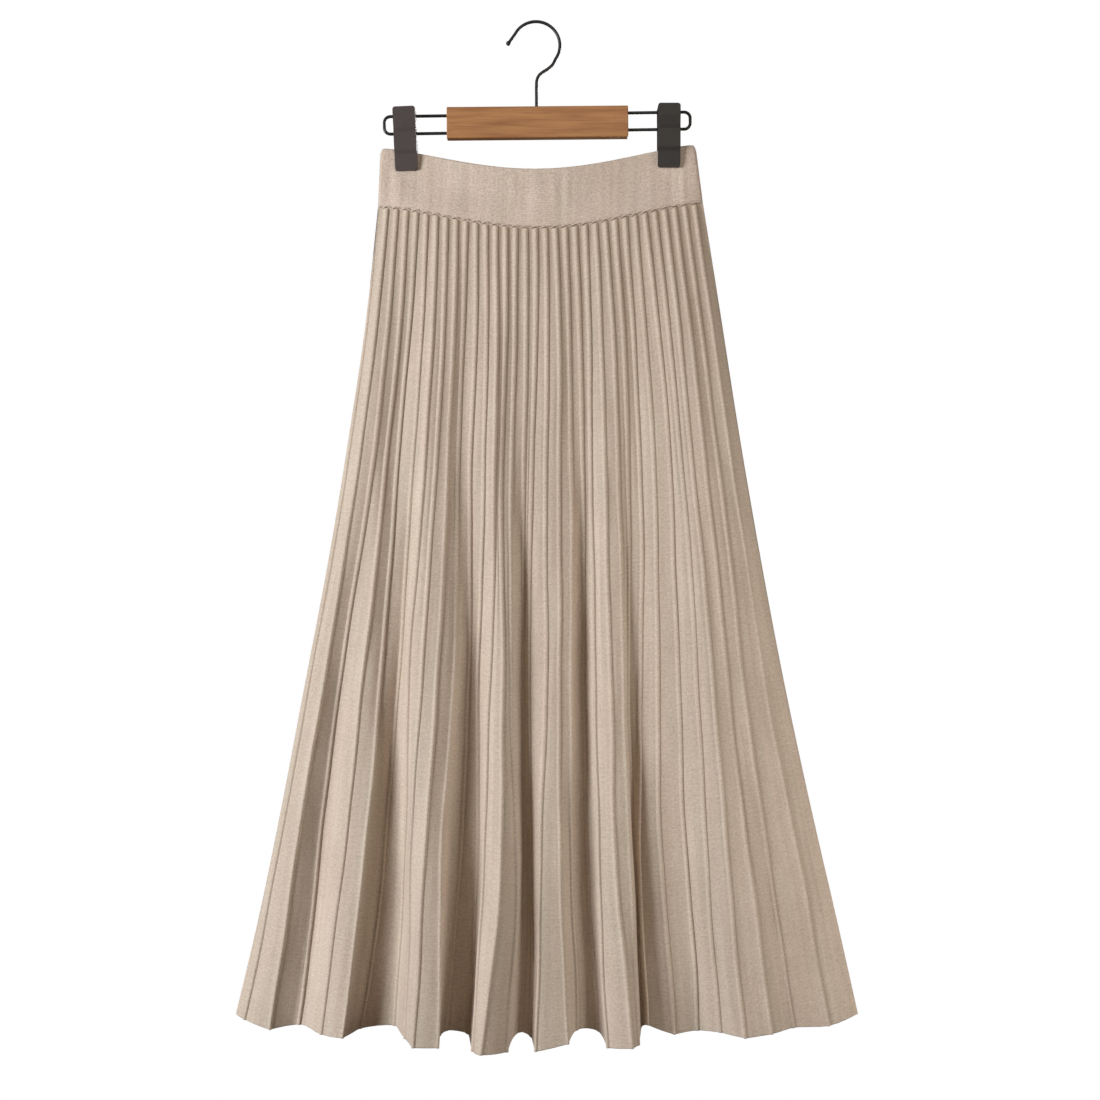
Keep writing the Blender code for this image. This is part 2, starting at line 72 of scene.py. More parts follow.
def math_node(tree, name, operation, first, second=None):
    """One Math node; a number is set on the socket and a socket is linked to it."""
    made = node(tree, "ShaderNodeMath", name, operation=operation)
    for slot, value in enumerate((first, second)):
        if value is None:
            continue
        if isinstance(value, (int, float)):
            made.inputs[slot].default_value = value
        else:
            tree.links.new(value, made.inputs[slot])
    return made.outputs[0]


def mixed_colour(tree, name, factor, first, second, blend="MIX"):
    """Two colours mixed by a factor; each may be a colour or a socket."""
    made = node(tree, "ShaderNodeMix", name, data_type="RGBA", blend_type=blend)
    for slot, value in ((0, factor), (6, first), (7, second)):
        if isinstance(value, (int, float, tuple)):
            made.inputs[slot].default_value = value
        else:
            tree.links.new(value, made.inputs[slot])
    return made.outputs[2]


def noise_on(tree, name, coordinates, scale, stretch=(1, 1, 1), detail=2.0):
    """Noise over coordinates in metres; stretch makes it longer along an axis where it is small."""
    mapping = node(tree, "ShaderNodeMapping", name + "_stretch")
    mapping.inputs["Scale"].default_value = stretch
    tree.links.new(coordinates, mapping.inputs["Vector"])
    noise = node(tree, "ShaderNodeTexNoise", name)
    noise.inputs["Scale"].default_value = scale
    noise.inputs["Detail"].default_value = detail
    tree.links.new(mapping.outputs[0], noise.inputs["Vector"])
    return noise.outputs["Fac"]


def tone_ramp(tree, name, tone, dark, light, dark_at=0.0, light_at=1.0):
    """The colour between dark and light at a tone."""
    ramp = node(tree, "ShaderNodeValToRGB", name)
    for element, at, colour in zip(ramp.color_ramp.elements, (dark_at, light_at), (dark, light)):
        element.position = at
        element.color = colour
    tree.links.new(tone, ramp.inputs[0])
    return ramp.outputs[0]


def add_bump(tree, shader, name, height, strength, distance):
    """Bump on the shader from a height; distance is in metres."""
    bump = node(tree, "ShaderNodeBump", name)
    bump.inputs["Strength"].default_value = strength
    bump.inputs["Distance"].default_value = distance
    tree.links.new(height, bump.inputs["Height"])
    tree.links.new(bump.outputs[0], shader.inputs["Normal"])


def new_material(name):
    """A node material with its tree and its Principled shader."""
    made = bpy.data.materials.new(name)
    made.use_nodes = True
    tree = made.node_tree
    return made, tree, tree.nodes["Principled BSDF"]


def stitch_height(tree, across, down):
    """Height of plain knit: in each wale two legs lean to a V, one V for each course.

    leg = |sin(2 pi wale)|, course = sin(pi fraction(course + 0.9 |wale fraction - 0.5|)).
    """
    wale = math_node(tree, "wale", "DIVIDE", across, WALE_WIDTH)
    course = math_node(tree, "course", "DIVIDE", down, COURSE_HEIGHT)
    place = math_node(tree, "wale_place", "FRACT", wale)
    centred = math_node(tree, "centred", "SUBTRACT", place, 0.5)
    off_middle = math_node(tree, "off_middle", "ABSOLUTE", centred)
    lean = math_node(tree, "lean", "MULTIPLY", off_middle, STITCH_LEAN)
    leaning_course = math_node(tree, "leaning_course", "ADD", course, lean)
    step = math_node(tree, "step", "FRACT", leaning_course)
    half_turn = math_node(tree, "half_turn", "MULTIPLY", step, math.pi)
    round_course = math_node(tree, "round_course", "SINE", half_turn)
    turn = math_node(tree, "wale_turn", "MULTIPLY", wale, 2 * math.pi)
    leg_wave = math_node(tree, "leg_wave", "SINE", turn)
    leg = math_node(tree, "leg", "ABSOLUTE", leg_wave)
    return math_node(tree, "stitch", "MULTIPLY", round_course, leg)


def knit_material(name, stitch_tone, course_tone, light_yarn):
    """Matt beige knit on the piece's UV map, in metres, with painted shade in the rib grooves.

    Its tone is 0.5 plus shares of a speckle, of uneven courses and wales, of soft patches
    and of the stitches themselves. A slow streaky tint makes it rosier here, greener there.
    """
    made, tree, shader = new_material(name)
    uv = node(tree, "ShaderNodeUVMap", "cloth_uv", uv_map="cloth")
    split = node(tree, "ShaderNodeSeparateXYZ", "across_and_down")
    tree.links.new(uv.outputs[0], split.inputs[0])
    painted_groove_shade = node(tree, "ShaderNodeAttribute", "painted_groove_shade", attribute_name="painted_groove_shade")
    stitch = stitch_height(tree, split.outputs[0], split.outputs[1])
    speckle = noise_on(tree, "speckle", uv.outputs[0], 430, detail=2.5)
    courses = noise_on(tree, "uneven_courses", uv.outputs[0], 70, (1, 9, 1))
    streaks = noise_on(tree, "wale_streaks", uv.outputs[0], 120, (1, 0.05, 1))
    patches = noise_on(tree, "soft_patches", uv.outputs[0], 20)
    tone = 0.5
    for pattern_name, pattern, middle, share in (
        ("speckle", speckle, 0.5, 1.25),
        ("uneven_courses", courses, 0.5, course_tone),
        ("wale_streaks", streaks, 0.5, 0.7),
        ("soft_patches", patches, 0.5, 0.35),
        ("stitches", stitch, 0.4, stitch_tone),
    ):
        swing_name = pattern_name + "_swing"
        swing = math_node(tree, swing_name, "MULTIPLY_ADD", pattern, share)
        tree.nodes[swing_name].inputs[2].default_value = -middle * share
        tone = math_node(tree, pattern_name + "_tone", "ADD", swing, tone)
    yarn = tone_ramp(tree, "yarn_tones", tone, KNIT_SHADED, light_yarn)
    tint_streaks = noise_on(tree, "tint_streaks", uv.outputs[0], 45, (1, 0.12, 1))
    tint = mixed_colour(tree, "tint", tint_streaks, *KNIT_TINTS)
    tinted = mixed_colour(tree, "tinted", 1.0, yarn, tint, "MULTIPLY")
    # Painted shade: the groove attribute darkens the yarn towards the groove colour in the rib grooves and
    # recesses
    colour = mixed_colour(tree, "painted_groove_shade_colour", painted_groove_shade.outputs["Fac"], tinted, KNIT_PAINTED_SHADE)
    tree.links.new(colour, shader.inputs["Base Color"])
    fuzz = math_node(tree, "fuzz", "MULTIPLY", speckle, FUZZ_HEIGHT)
    height = math_node(tree, "height", "ADD", stitch, fuzz)
    add_bump(tree, shader, "stitch_bump", height, 0.55, STITCH_BUMP)
    shader.inputs["Roughness"].default_value = 0.88
    shader.inputs["Specular IOR Level"].default_value = 0.25
    shader.inputs["Sheen Weight"].default_value = 0.12
    shader.inputs["Sheen Roughness"].default_value = 0.55
    return made


# The two gores, front and back: the skirt proper, of the fine knit. Each has 33 raised ribs,
# and the cloth folds at them into hanging pleats that open from the seam to the hem. The
# gores lie on each other and meet at the side edges.
SEAM_GAP = 0.3
SEAM_LEFT = (-158.0, -184.5)
SEAM_RIGHT = (167.0, -180.5)
SEAM_SAG = 24.3
SAG_SHAPE = 0.72
SEAM_DEPTH = 11.0
HEM_CORNER_Z = -990.5
GORE_LENGTH = 810.0
SHELL_WALL = 1.1
EDGE_RIBS = (0.003, 0.028, 0.974)

# Side edges of the hung skirt: share of the way from seam to hem, left x, right x
SIDE_EDGES = (
    (0.00, -158, 167),
    (0.14, -170, 185),
    (0.29, -188, 204),
    (0.44, -208, 225),
    (0.59, -231, 248),
    (0.74, -254, 274),
    (0.89, -279, 302),
    (1.00, -300, 322),
)

# Heights at which the rib tables are given, as shares of the way from seam to hem
RIB_HEIGHTS = (0.0, 0.303, 0.551, 0.80, 1.0)

# Front ribs, left to right. Upper, middle, lower and hem are places across the gore
# in thousandths of its width; out_middle and out_hem are the depths of the crease in
# front of the side edges; drop is how far its hem hangs below the hem's corners.
FRONT_RIBS = (
    # upper, middle, lower, hem, out_middle, out_hem, drop
    (7, 8, 8, 12, 5, 7, 3),
    (33, 33, 40, 56, 16, 22, 9),
    (68, 69, 85, 100, 9, 10, 7),
    (103, 113, 127, 138, 14, 27, 10),
    (131, 151, 167, 172, 22, 46, 10),
    (168, 192, 201, 201, 13, 23, 9),
    (198, 209, 242, 254, 26, 24, 5),
    (225, 239, 250, 270, 34, 50, 8),
    (255, 273, 275, 281, 42, 74, 10),
    (280, 307, 309, 325, 31, 68, 11),
    (315, 339, 339, 339, 19, 40, 4),
    (347, 360, 373, 369, 8, 30, 8),
    (373, 385, 383, 377, 22, 56, 17),
    (392, 411, 412, 394, 36, 82, 16),
    (417, 429, 448, 436, 22, 68, 18),
    (448, 455, 461, 457, 9, 40, 5),
    (469, 467, 471, 473, 5, 24, 10),
    (505, 502, 485, 484, 14, 50, 20),
    (539, 533, 523, 535, 26, 52, 14),
    (567, 559, 547, 547, 14, 24, 5),
    (597, 585, 575, 579, 5, 12, 10),
    (620, 607, 595, 598, 18, 36, 21),
    (655, 640, 627, 640, 32, 54, 18),
    (688, 671, 652, 648, 20, 34, 16),
    (712, 681, 659, 653, 7, 10, 8),
    (741, 707, 670, 659, 15, 26, 4),
    (777, 741, 711, 706, 27, 29, 13),
    (817, 787, 753, 743, 27, 13, 11),
    (847, 823, 793, 780, 35, 30, 9),
    (874, 856, 831, 820, 40, 46, 11),
    (903, 889, 869, 859, 29, 29, 9),
    (935, 920, 905, 894, 17, 11, 7),
    (971, 962, 961, 953, 11, 9, 8),
)

# Back creases, right to left as seen from behind: only the ribs at which the cloth
# turns, by number; the ribs between two of them are spread evenly.
BACK_CREASES = (
    # rib, upper, middle, lower, hem, out_middle, out_hem, drop
    (1, 7, 8, 8, 12, 5, 6, 3),
    (3, 64, 70, 84, 94, 17, 31, 9),
    (5, 128, 130, 131, 132, 7, 12, 6),
    (8, 226, 232, 243, 240, 30, 58, 13),
    (10, 281, 284, 281, 272, 9, 22, 7),
    (13, 371, 372, 366, 372, 33, 66, 14),
    (15, 430, 420, 412, 402, 12, 24, 8),
    (16, 460, 456, 455, 452, 20, 38, 12),
    (18, 512, 520, 528, 539, 34, 64, 14),
    (20, 573, 566, 566, 568, 11, 20, 6),
    (23, 662, 671, 668, 675, 31, 55, 12),
    (25, 722, 720, 716, 706, 13, 26, 7),
    (27, 780, 790, 795, 792, 27, 47, 11),
    (29, 845, 838, 833, 829, 9, 14, 6),
    (31, 900, 903, 905, 905, 19, 34, 10),
    (33, 970, 963, 958, 956, 7, 9, 6),
)

# How far the whole gore bows out from the side edges: at the waist, middle and hem
BOW_UPPER = 13.0
BOW_MIDDLE = 6.0
BOW_HEM = 4.0

# How much further out (or in, below 0) than in the solid each front rib hangs, so that
# each band between two ribs has its own slant
FRONT_SLANTS = (
    # upper, middle, lower, hem
    (0, 0, 0, 0),
    (5, 0, 0, 0),
    (5, 1, 0, 0),
    (-1, 6, 6, 4),
    (-8, -8, -3, -3),
    (1, -4, -8, -8),
    (4, -3, -6, -6),
    (-2, 0, -3, -3),
    (-8, -8, -6, -5),
    (-8, -6, -2, -1),
    (-2, -6, -6, -3),
    (7, 6, 4, 2),
    (5, 2, 0, 0),
    (-5, -6, -8, -8),
    (-1, 3, -5, -11),
    (1, -2, -4, -2),
    (3, 6, 11, 11),
    (1, 5, 4, 3),
    (-6, -6, -6, -6),
    (-4, 2, 8, 6),
    (-3, -2, 5, 6),
    (-8, -6, 0, 1),
    (-8, -8, -6, -5),
    (-4, 2, 6, 8),
    (-1, 6, 0, 0),
    (-7, -2, -6, -8),
    (-8, -10, -8, -8),
    (-6, -6, -1, 2),
    (-5, -8, -4, -2),
    (-4, -8, -8, -6),
    (1, 0, 2, 3),
    (3, 7, 8, 8),
    (4, 3, 4, 3),
)

# The front's places are as seen from 1.5 m, so a crease that stands out is drawn in to the
# middle. Each crease then wanders, less where its neighbours are near.
SEEN_FROM = 1500.0
SEEN_MIDDLE = 14.0
WANDER = (0.3, 1.2)
WANDER_ROOM = 12.0
WANDER_LEAST = 0.2
WANDER_STARTS = 0.05
WANDER_OUTWARD = 0.8
WANDER_WAVES = ((1.4, 1.0), (3.3, 0.55), (7.1, 0.28))

# A rib's section, in half feet from its crease and shares of its rise: a rounded back, a
# steep right side and a groove beyond it. Shade is how much painted shade darkens the cloth there.
RIB_SECTION = (
    # place, height, shade
    (-1.25, -0.08, 0.10),
    (-1.00, 0.08, 0.12),
    (-0.80, 0.50, 0.00),
    (-0.42, 0.90, 0.00),
    (0.00, 1.00, 0.00),
    (0.34, 0.90, 0.00),
    (0.62, 0.62, 0.08),
    (0.82, 0.10, 0.45),
    (0.98, -0.24, 0.80),
    (1.14, -0.20, 0.45),
    (1.40, -0.08, 0.10),
)
BAND_STATIONS = (0.2, 0.5, 0.8)
BAND_WAVES = (2.3, 6.7)
BAND_WAVE_HEIGHT = 0.35
BAND_BELLY = (-0.7, 1.0)
BAND_SUNK = 0.5
WIDE_BAND = 20.0
RIB_FOOT = (5.0, 4.6)
RIB_RISE = (1.75, 1.3)
RIB_SETTLES = 0.33
RIB_STARTS_MM = 3.5
CREST_RADIUS = 3.2
CREST_CUT = 1.8
SHARP_FROM = math.radians(10)
SHARP_TO = math.radians(38)
# Painted shade: how much of it a folded crest loses, how much lies in the sunk bands of the close ribbing,
# and the share of it on the inner wall
FOLDED_CREST_LESS_SHADE = 0.75
RECESS_SHADE = 0.02
INNER_SHADE = 0.4
PATTERN_STEP = 0.037
TOP_ROWS = (0, 0.0008, 0.0018, 0.0034, 0.006)
HEM_ROWS = (0.9988, 1)
CLOTH_ROWS = np.concatenate([TOP_ROWS, np.linspace(0.011, 0.996, 83), HEM_ROWS])

# Soft creases that lie across the ribs' own folds: x and share where each begins and ends,
# half its width, and its depth, out of the cloth where it is above 0
FRONT_SOFT_CREASES = (
    # from_x, from_share, to_x, to_share, half_width, depth
    (-187, 0.52, -229, 1.02, 6, -2.6),
    (-196, 0.60, -206, 0.78, 8, 1.0),
    (-120, 0.30, -128, 0.47, 7, -0.9),
    (-152, 0.72, -160, 0.96, 9, 1.2),
    (-52, 0.50, -58, 0.66, 6, -0.8),
    (-18, 0.70, -26, 0.93, 8, -1.2),
    (26, 0.62, 22, 0.88, 8, 1.0),
    (64, 0.28, 66, 0.44, 6, 0.7),
    (92, 0.66, 100, 0.92, 10, -1.3),
    (150, 0.34, 162, 0.52, 8, 0.8),
    (186, 0.56, 204, 0.80, 10, -1.2),
    (232, 0.78, 262, 0.99, 12, 1.4),
)
BACK_SOFT_CREASES = (
    (-206, 0.70, -232, 0.97, 11, -1.4),
    (-150, 0.36, -160, 0.58, 8, 0.9),
    (-96, 0.64, -104, 0.90, 9, -1.1),
    (-34, 0.42, -36, 0.60, 7, 0.8),
    (12, 0.70, 10, 0.95, 9, 1.2),
    (78, 0.50, 84, 0.74, 8, -1.0),
    (140, 0.30, 150, 0.50, 7, -0.8),
    (196, 0.62, 216, 0.90, 10, 1.3),
)


def curve_through(knots, values, wanted):
    """A smooth curve through values at knots: cubic pieces that share their slopes."""
    knots = np.asarray(knots, float)
    values = np.asarray(values, float)
    slopes = np.gradient(values, knots, axis=0)
    cell = np.clip(np.searchsorted(knots, wanted, side="right") - 1, 0, len(knots) - 2)
    width = knots[cell + 1] - knots[cell]
    shape = (-1,) + (1,) * (values.ndim - 1)
    t = ((wanted - knots[cell]) / width).reshape(shape)
    width = width.reshape(shape)
    start = (1 + 2 * t) * (1 - t) ** 2 * values[cell] + t * (1 - t) ** 2 * width * slopes[cell]
    end = t ** 2 * (3 - 2 * t) * values[cell + 1] + t ** 2 * (t - 1) * width * slopes[cell + 1]
    return start + end


def smooth_step(x):
    """0 below 0, 1 above 1, and 3x^2 - 2x^3 between."""
    x = np.clip(x, 0, 1)
    return x * x * (3 - 2 * x)


def sagging_line(left, right, u):
    """x and z along a line between two corners; it sags by the seam's sag times
    (0.5 + 0.5 cos(pi (2u - 1)))^0.72, which is none at the corners and all of it halfway.
    """
    x = left[0] + (right[0] - left[0]) * u
    share = (0.5 + 0.5 * np.cos(math.pi * (2 * u - 1))) ** SAG_SHAPE
    z = left[1] + (right[1] - left[1]) * u - SEAM_SAG * share
    return x, z


def bow_share(u):
    """The rounded lens of a gore in plan: (1 - |2u - 1|^2.5)^0.75."""
    return np.maximum(1 - np.abs(2 * u - 1) ** 2.5, 0) ** 0.75


def all_back_ribs():
    """The back's ribs, with those between two creases spread evenly."""
    table = np.array(BACK_CREASES, float)
    numbers = np.arange(1, len(FRONT_RIBS) + 1)
    columns = [np.interp(numbers, table[:, 0], table[:, k]) for k in range(1, table.shape[1])]
    return np.stack(columns, axis=1)


def rib_tops(count):
    """Places of the ribs along the seam, as shares: the first close to the side edge."""
    return np.concatenate([EDGE_RIBS[:1], np.linspace(EDGE_RIBS[1], EDGE_RIBS[2], count - 1)])


def crease_lines(ribs, side, seed):
    """The creases as rows of points from the left edge to the right, with a small wander.

    Across, each crease goes through its table's places. Its depth is the table's own plus
    the gore's bow: half of the middle's at the upper height, and 0.4 of the middle's with
    0.6 of the hem's at the lower one. The front adds its slants, and each of its creases is
    drawn in towards the middle by x times depth over the distance it is seen from.
    The wander is a sum of three slow waves along the crease, none at the seam.
    """
    ribs = np.asarray(ribs, float)
    count = len(ribs)
    across = np.vstack([rib_tops(count), ribs[:, 0:4].T / 1000])
    ends = np.zeros((len(across), 1))
    across = np.hstack([ends, across, ends + 1])
    out_middle = np.concatenate([[0], ribs[:, 4], [0]])
    out_hem = np.concatenate([[0], ribs[:, 5], [0]])
    drop = np.concatenate([[0], ribs[:, 6], [0]])
    depth_middle = out_middle + BOW_MIDDLE * bow_share(across[2])
    depth_hem = out_hem + BOW_HEM * bow_share(across[4])
    depth = np.array([
        SEAM_DEPTH * bow_share(across[0]),
        0.5 * depth_middle + 0.5 * BOW_UPPER * bow_share(across[1]),
        depth_middle,
        0.4 * depth_middle + 0.6 * depth_hem,
        depth_hem,
    ])
    if side < 0:
        depth[1:, 1:-1] += np.array(FRONT_SLANTS, float).T
    u = curve_through(RIB_HEIGHTS, across, CLOTH_ROWS)
    out = curve_through(RIB_HEIGHTS, depth, CLOTH_ROWS)
    out[:, [0, -1]] = 0
    edges = np.array(SIDE_EDGES, float)
    sides = curve_through(edges[:, 0], edges[:, 1:], CLOTH_ROWS)
    x = sides[:, :1] + (sides[:, 1:] - sides[:, :1]) * u
    if side < 0:
        x = SEEN_MIDDLE + (x - SEEN_MIDDLE) * (1 - out / SEEN_FROM)
    seam_z = sagging_line(SEAM_LEFT, SEAM_RIGHT, across[0])[1]
    rows = CLOTH_ROWS[:, None]
    z = seam_z + (HEM_CORNER_Z - drop - seam_z) * rows
    gaps = np.hypot(np.diff(x, axis=1), np.diff(out, axis=1))
    reach = np.zeros_like(x)
    nearest = np.minimum(gaps[:, :-1], gaps[:, 1:])
    reach[:, 1:-1] = np.clip(nearest / WANDER_ROOM, WANDER_LEAST, 1)
    reach *= (WANDER[0] + (WANDER[1] - WANDER[0]) * rows) * smooth_step(rows / WANDER_STARTS)
    chance = np.random.RandomState(seed)
    phases = chance.uniform(0, 2 * math.pi, (3, count + 2))
    for wave, (turns, share) in enumerate(WANDER_WAVES):
        swing = share * reach * np.sin(2 * math.pi * turns * rows + phases[wave])
        x = x + swing
        out = out + WANDER_OUTWARD * swing
    y = side * (np.maximum(out, 0) + SEAM_GAP / 2)
    return np.stack([x, y, z], axis=-1)


def unit(vectors):
    """Vectors over their own length."""
    return vectors / np.maximum(np.linalg.norm(vectors, axis=-1, keepdims=True), 1e-9)


def plan_normal(run, side):
    """The outward direction in plan, square to a run across the cloth."""
    return unit(np.stack([run[..., 1], -run[..., 0]], axis=-1) * -side)


def pleat_curves(lines, side):
    """Cubic pieces from crease to crease, as their starts, ends and end slopes.

    A valley or a flat rib is passed smoothly, along the mean of its two bands' directions.
    A crest stays sharp: there each band leaves along its own curve. The bend is how far the
    cloth turns at a crease, and the sharpness grows with it on crests.
    """
    step = np.diff(lines, axis=1)
    length = np.linalg.norm(step, axis=-1, keepdims=True)
    direction = step / length
    normal = plan_normal(direction, side)
    mean = direction[:, :-1] + direction[:, 1:]
    half_cosine = np.clip(np.linalg.norm(mean, axis=-1, keepdims=True) / 2, 0, 1)
    mean = mean / np.maximum(2 * half_cosine, 1e-6) * half_cosine
    bend = 2 * np.arccos(half_cosine[..., 0])
    turn = normal[:, :-1, 0] * normal[:, 1:, 1] - normal[:, :-1, 1] * normal[:, 1:, 0]
    hollow = turn * side > 0
    sharp = np.where(hollow, 0, smooth_step((bend - SHARP_FROM) / (SHARP_TO - SHARP_FROM)))[..., None]
    soft_start = np.concatenate([direction[:, :1], mean], axis=1)
    soft_end = np.concatenate([mean, direction[:, -1:]], axis=1)
    sharp_start = np.concatenate([np.zeros_like(sharp[:, :1]), sharp], axis=1)
    sharp_end = np.concatenate([sharp, np.zeros_like(sharp[:, :1])], axis=1)
    end_guess = soft_end + (direction - soft_end) * sharp_end
    start_guess = soft_start + (direction - soft_start) * sharp_start
    start = soft_start + (1.5 * direction - 0.5 * end_guess - soft_start) * sharp_start
    end = soft_end + (1.5 * direction - 0.5 * start_guess - soft_end) * sharp_end
    return length, start * length, end * length, half_cosine[..., 0], hollow


def on_pleat(lines, slopes, t):
    """Points and runs on the cubic pieces at t from 0 to 1."""
    t = t[..., None]
    first, last = lines[:, :-1], lines[:, 1:]
    start, end = slopes
    point = (
        (1 + 2 * t) * (1 - t) ** 2 * first + t * (1 - t) ** 2 * start
        + t ** 2 * (3 - 2 * t) * last + t ** 2 * (t - 1) * end
    )
    run = (
        6 * t * (t - 1) * first + (1 - t) * (1 - 3 * t) * start
        + 6 * t * (1 - t) * last + t * (3 * t - 2) * end
    )
    return point, run


def soft_creases(points, table, side):
    """Push the cloth out or in by depth exp(-(x - x0)^2 / half_width^2).

    It comes in over the first third of the crease and fades from 0.87 to 1.12 of its length.
    """
    share = CLOTH_ROWS[:, None]
    for from_x, from_share, to_x, to_share, half_width, depth in table:
        along = (share - from_share) / (to_share - from_share)
        middle = from_x + (to_x - from_x) * np.clip(along, 0, 1)
        fade = smooth_step(along * 3) * smooth_step((1.12 - along) * 4)
        push = side * depth * fade
        points[..., 1] += push * np.exp(-((points[..., 0] - middle) / half_width) ** 2)
    return points


def rib_sizes(length, half_cosine, hollow, settle):
    """Half foot, rise, painted groove shade and crest cut at each crease, none at the side edges.

    Foot and rise pass from their values in the close ribbing to those lower down, less where
    the next rib is near. A rib is flatter in a sharp hollow. A folded crest gets less painted
    groove shade, and its tip is cut back by radius times (1 / cosine of half the bend - 1), up
    to a limit. The painted groove shade also lessens lower down.
    """
    foot = RIB_FOOT[0] + (RIB_FOOT[1] - RIB_FOOT[0]) * settle
    rise = RIB_RISE[0] + (RIB_RISE[1] - RIB_RISE[0]) * settle
    rise = rise * smooth_step(0.25 + CLOTH_ROWS[:, None] * GORE_LENGTH / RIB_STARTS_MM)
    share = np.minimum(1, 0.7 * np.minimum(length[:, :-1], length[:, 1:]) / foot)
    flatter = np.where(hollow, np.clip(1.6 * half_cosine - 0.6, 0.05, 1), 1) * share
    folded = np.where(hollow, 0, smooth_step((0.97 - half_cosine) / 0.08))
    # Painted shade beside each rib: less on a folded crest, and less lower down
    shade = np.sqrt(share) * (1 - FOLDED_CREST_LESS_SHADE * folded) * (0.88 - 0.3 * settle)
    past_radius = CREST_RADIUS * (1 / np.maximum(half_cosine, 0.4) - 1)
    cut = np.where(hollow, 0, np.minimum(past_radius, CREST_CUT))
    none = np.zeros((len(CLOTH_ROWS), 1))
    sizes = (foot * share / 2, rise * flatter, shade, cut * share)
    return [np.hstack([none, size, none]) for size in sizes]


def band_stand_off(length, settle, seed):
    """How far the middle of each band between two ribs stands off its curve.

    It has a belly of its own and two slow waves along it, more on a wide band. In the close
    ribbing it lies sunk instead.
    """
    chance = np.random.RandomState(seed + 1)
    phase = chance.uniform(0, 2 * math.pi, (2, 1, length.shape[1]))
    belly = chance.uniform(*BAND_BELLY, (1, length.shape[1]))
    rows = CLOTH_ROWS[:, None]
    slow, quick = (np.sin(2 * math.pi * BAND_WAVES[k] * rows + phase[k]) for k in (0, 1))
    wave = slow + 0.6 * quick
    room = np.clip(length / WIDE_BAND, 0, 1.2)
    return -BAND_SUNK * (1 - settle) + (BAND_WAVE_HEIGHT * wave + belly) * room * settle


def gore_surface(ribs, side, seed, creases):
    """Outer points, inner points, painted groove shade, and the crease each column belongs to.

    A point is the pleat's curve plus the rib's section along the outward normal; between
    ribs the band stands off by a slow wave. The inner points lie one wall further in.
    """
    lines = crease_lines(ribs, side, seed)
    length, start, end, half_cosine, hollow = pleat_curves(lines, side)
    length = length[..., 0]
    settle = smooth_step(CLOTH_ROWS / RIB_SETTLES)[:, None]
    half, lift, shade, cut = rib_sizes(length, half_cosine, hollow, settle)
    stand_off = band_stand_off(length, settle, seed)
    start_normal = plan_normal(start, side)
    end_normal = plan_normal(end, side)
    crease_normal = unit(np.concatenate([
        start_normal[:, :1], end_normal[:, :-1] + start_normal[:, 1:], end_normal[:, -1:]
    ], axis=1))
    # Painted shade in the sunk bands between ribs in the close ribbing
    painted_recess_shade = RECESS_SHADE * (1 - settle) * np.ones_like(length)
    columns = []

    def add_column(t, from_left, height, shadow, pull, normal_at):
        """One column of every band: pull draws its normal to the crease's own."""
        point, run = on_pleat(lines, (start, end), t)
        normal = unit(plan_normal(run, side) * (1 - pull) + normal_at * pull)
        outer = point.copy()
        outer[..., :2] += normal * height[..., None]
        inner = point.copy()
        inner[..., :2] -= normal * SHELL_WALL
        columns.append((outer, inner, shadow, from_left))

    right = [row for row in RIB_SECTION if row[0] >= 0]
    left = [row for row in RIB_SECTION if row[0] < 0]
    widest = right[-1][0]
    for place, height, shadow in right:
        t = place * half[:, :-1] / length
        pull = 1 - place / widest
        tip = max(0, 1 - place) ** 2 * cut[:, :-1]
        add_column(t, 1, height * lift[:, :-1] - tip, shadow * shade[:, :-1], pull, crease_normal[:, :-1])
    band_from = widest * half[:, :-1]
    band_to = length + left[0][0] * half[:, 1:]
    for station in BAND_STATIONS:
        t = (band_from + station * (band_to - band_from)) / length
        height = stand_off * math.sin(math.pi * station)
        add_column(t, 1 if station < 0.5 else 0, height, painted_recess_shade, 0.0, crease_normal[:, :-1])
    for place, height, shadow in left:
        t = 1 + place * half[:, 1:] / length
        pull = 1 + place / widest
        tip = max(0, 1 + place) ** 2 * cut[:, 1:]
        add_column(t, 0, height * lift[:, 1:] - tip, shadow * shade[:, 1:], pull, crease_normal[:, 1:])
    rows = len(CLOTH_ROWS)
    right_edge = lines[:, -1:]
    outer = np.stack([c[0] for c in columns], axis=2).reshape(rows, -1, 3)
    inner = np.stack([c[1] for c in columns], axis=2).reshape(rows, -1, 3)
    painted_groove_shade = np.stack([c[2] for c in columns], axis=2).reshape(rows, -1)
    painted_groove_shade = np.hstack([painted_groove_shade, np.zeros((rows, 1))])
    outer = soft_creases(np.concatenate([outer, right_edge], axis=1), creases, side)
    inner = soft_creases(np.concatenate([inner, right_edge], axis=1), creases, side)
    inner[:, 0, 0] += SHELL_WALL
    inner[:, -1, 0] -= SHELL_WALL
    for layer in (outer, inner):
        layer[..., 1] = side * np.maximum(side * layer[..., 1], SEAM_GAP / 2)
    first_half = [c[3] for c in columns]
    bands = length.shape[1]
    owner = np.array([band + (0 if own else 1) for band in range(bands) for own in first_half])
    return outer, inner, painted_groove_shade, owner


def quad_mesh(name, points, corner, u, v):
    """A mesh of four-cornered faces with its UV map; points are in mm."""
    mesh = bpy.data.meshes.new(name)
    mesh.vertices.add(len(points))
    mesh.vertices.foreach_set("co", (points * MM).ravel())
    mesh.loops.add(corner.size)
    mesh.loops.foreach_set("vertex_index", corner.ravel().astype(np.int32))
    mesh.polygons.add(len(corner))
    mesh.polygons.foreach_set("loop_start", np.arange(0, corner.size, 4, dtype=np.int32))
    mesh.update(calc_edges=True)
    layer_uv = mesh.uv_layers.new(name="cloth")
    layer_uv.data.foreach_set("uv", np.stack([u, v], axis=-1).ravel().astype(np.float32))
    return mesh


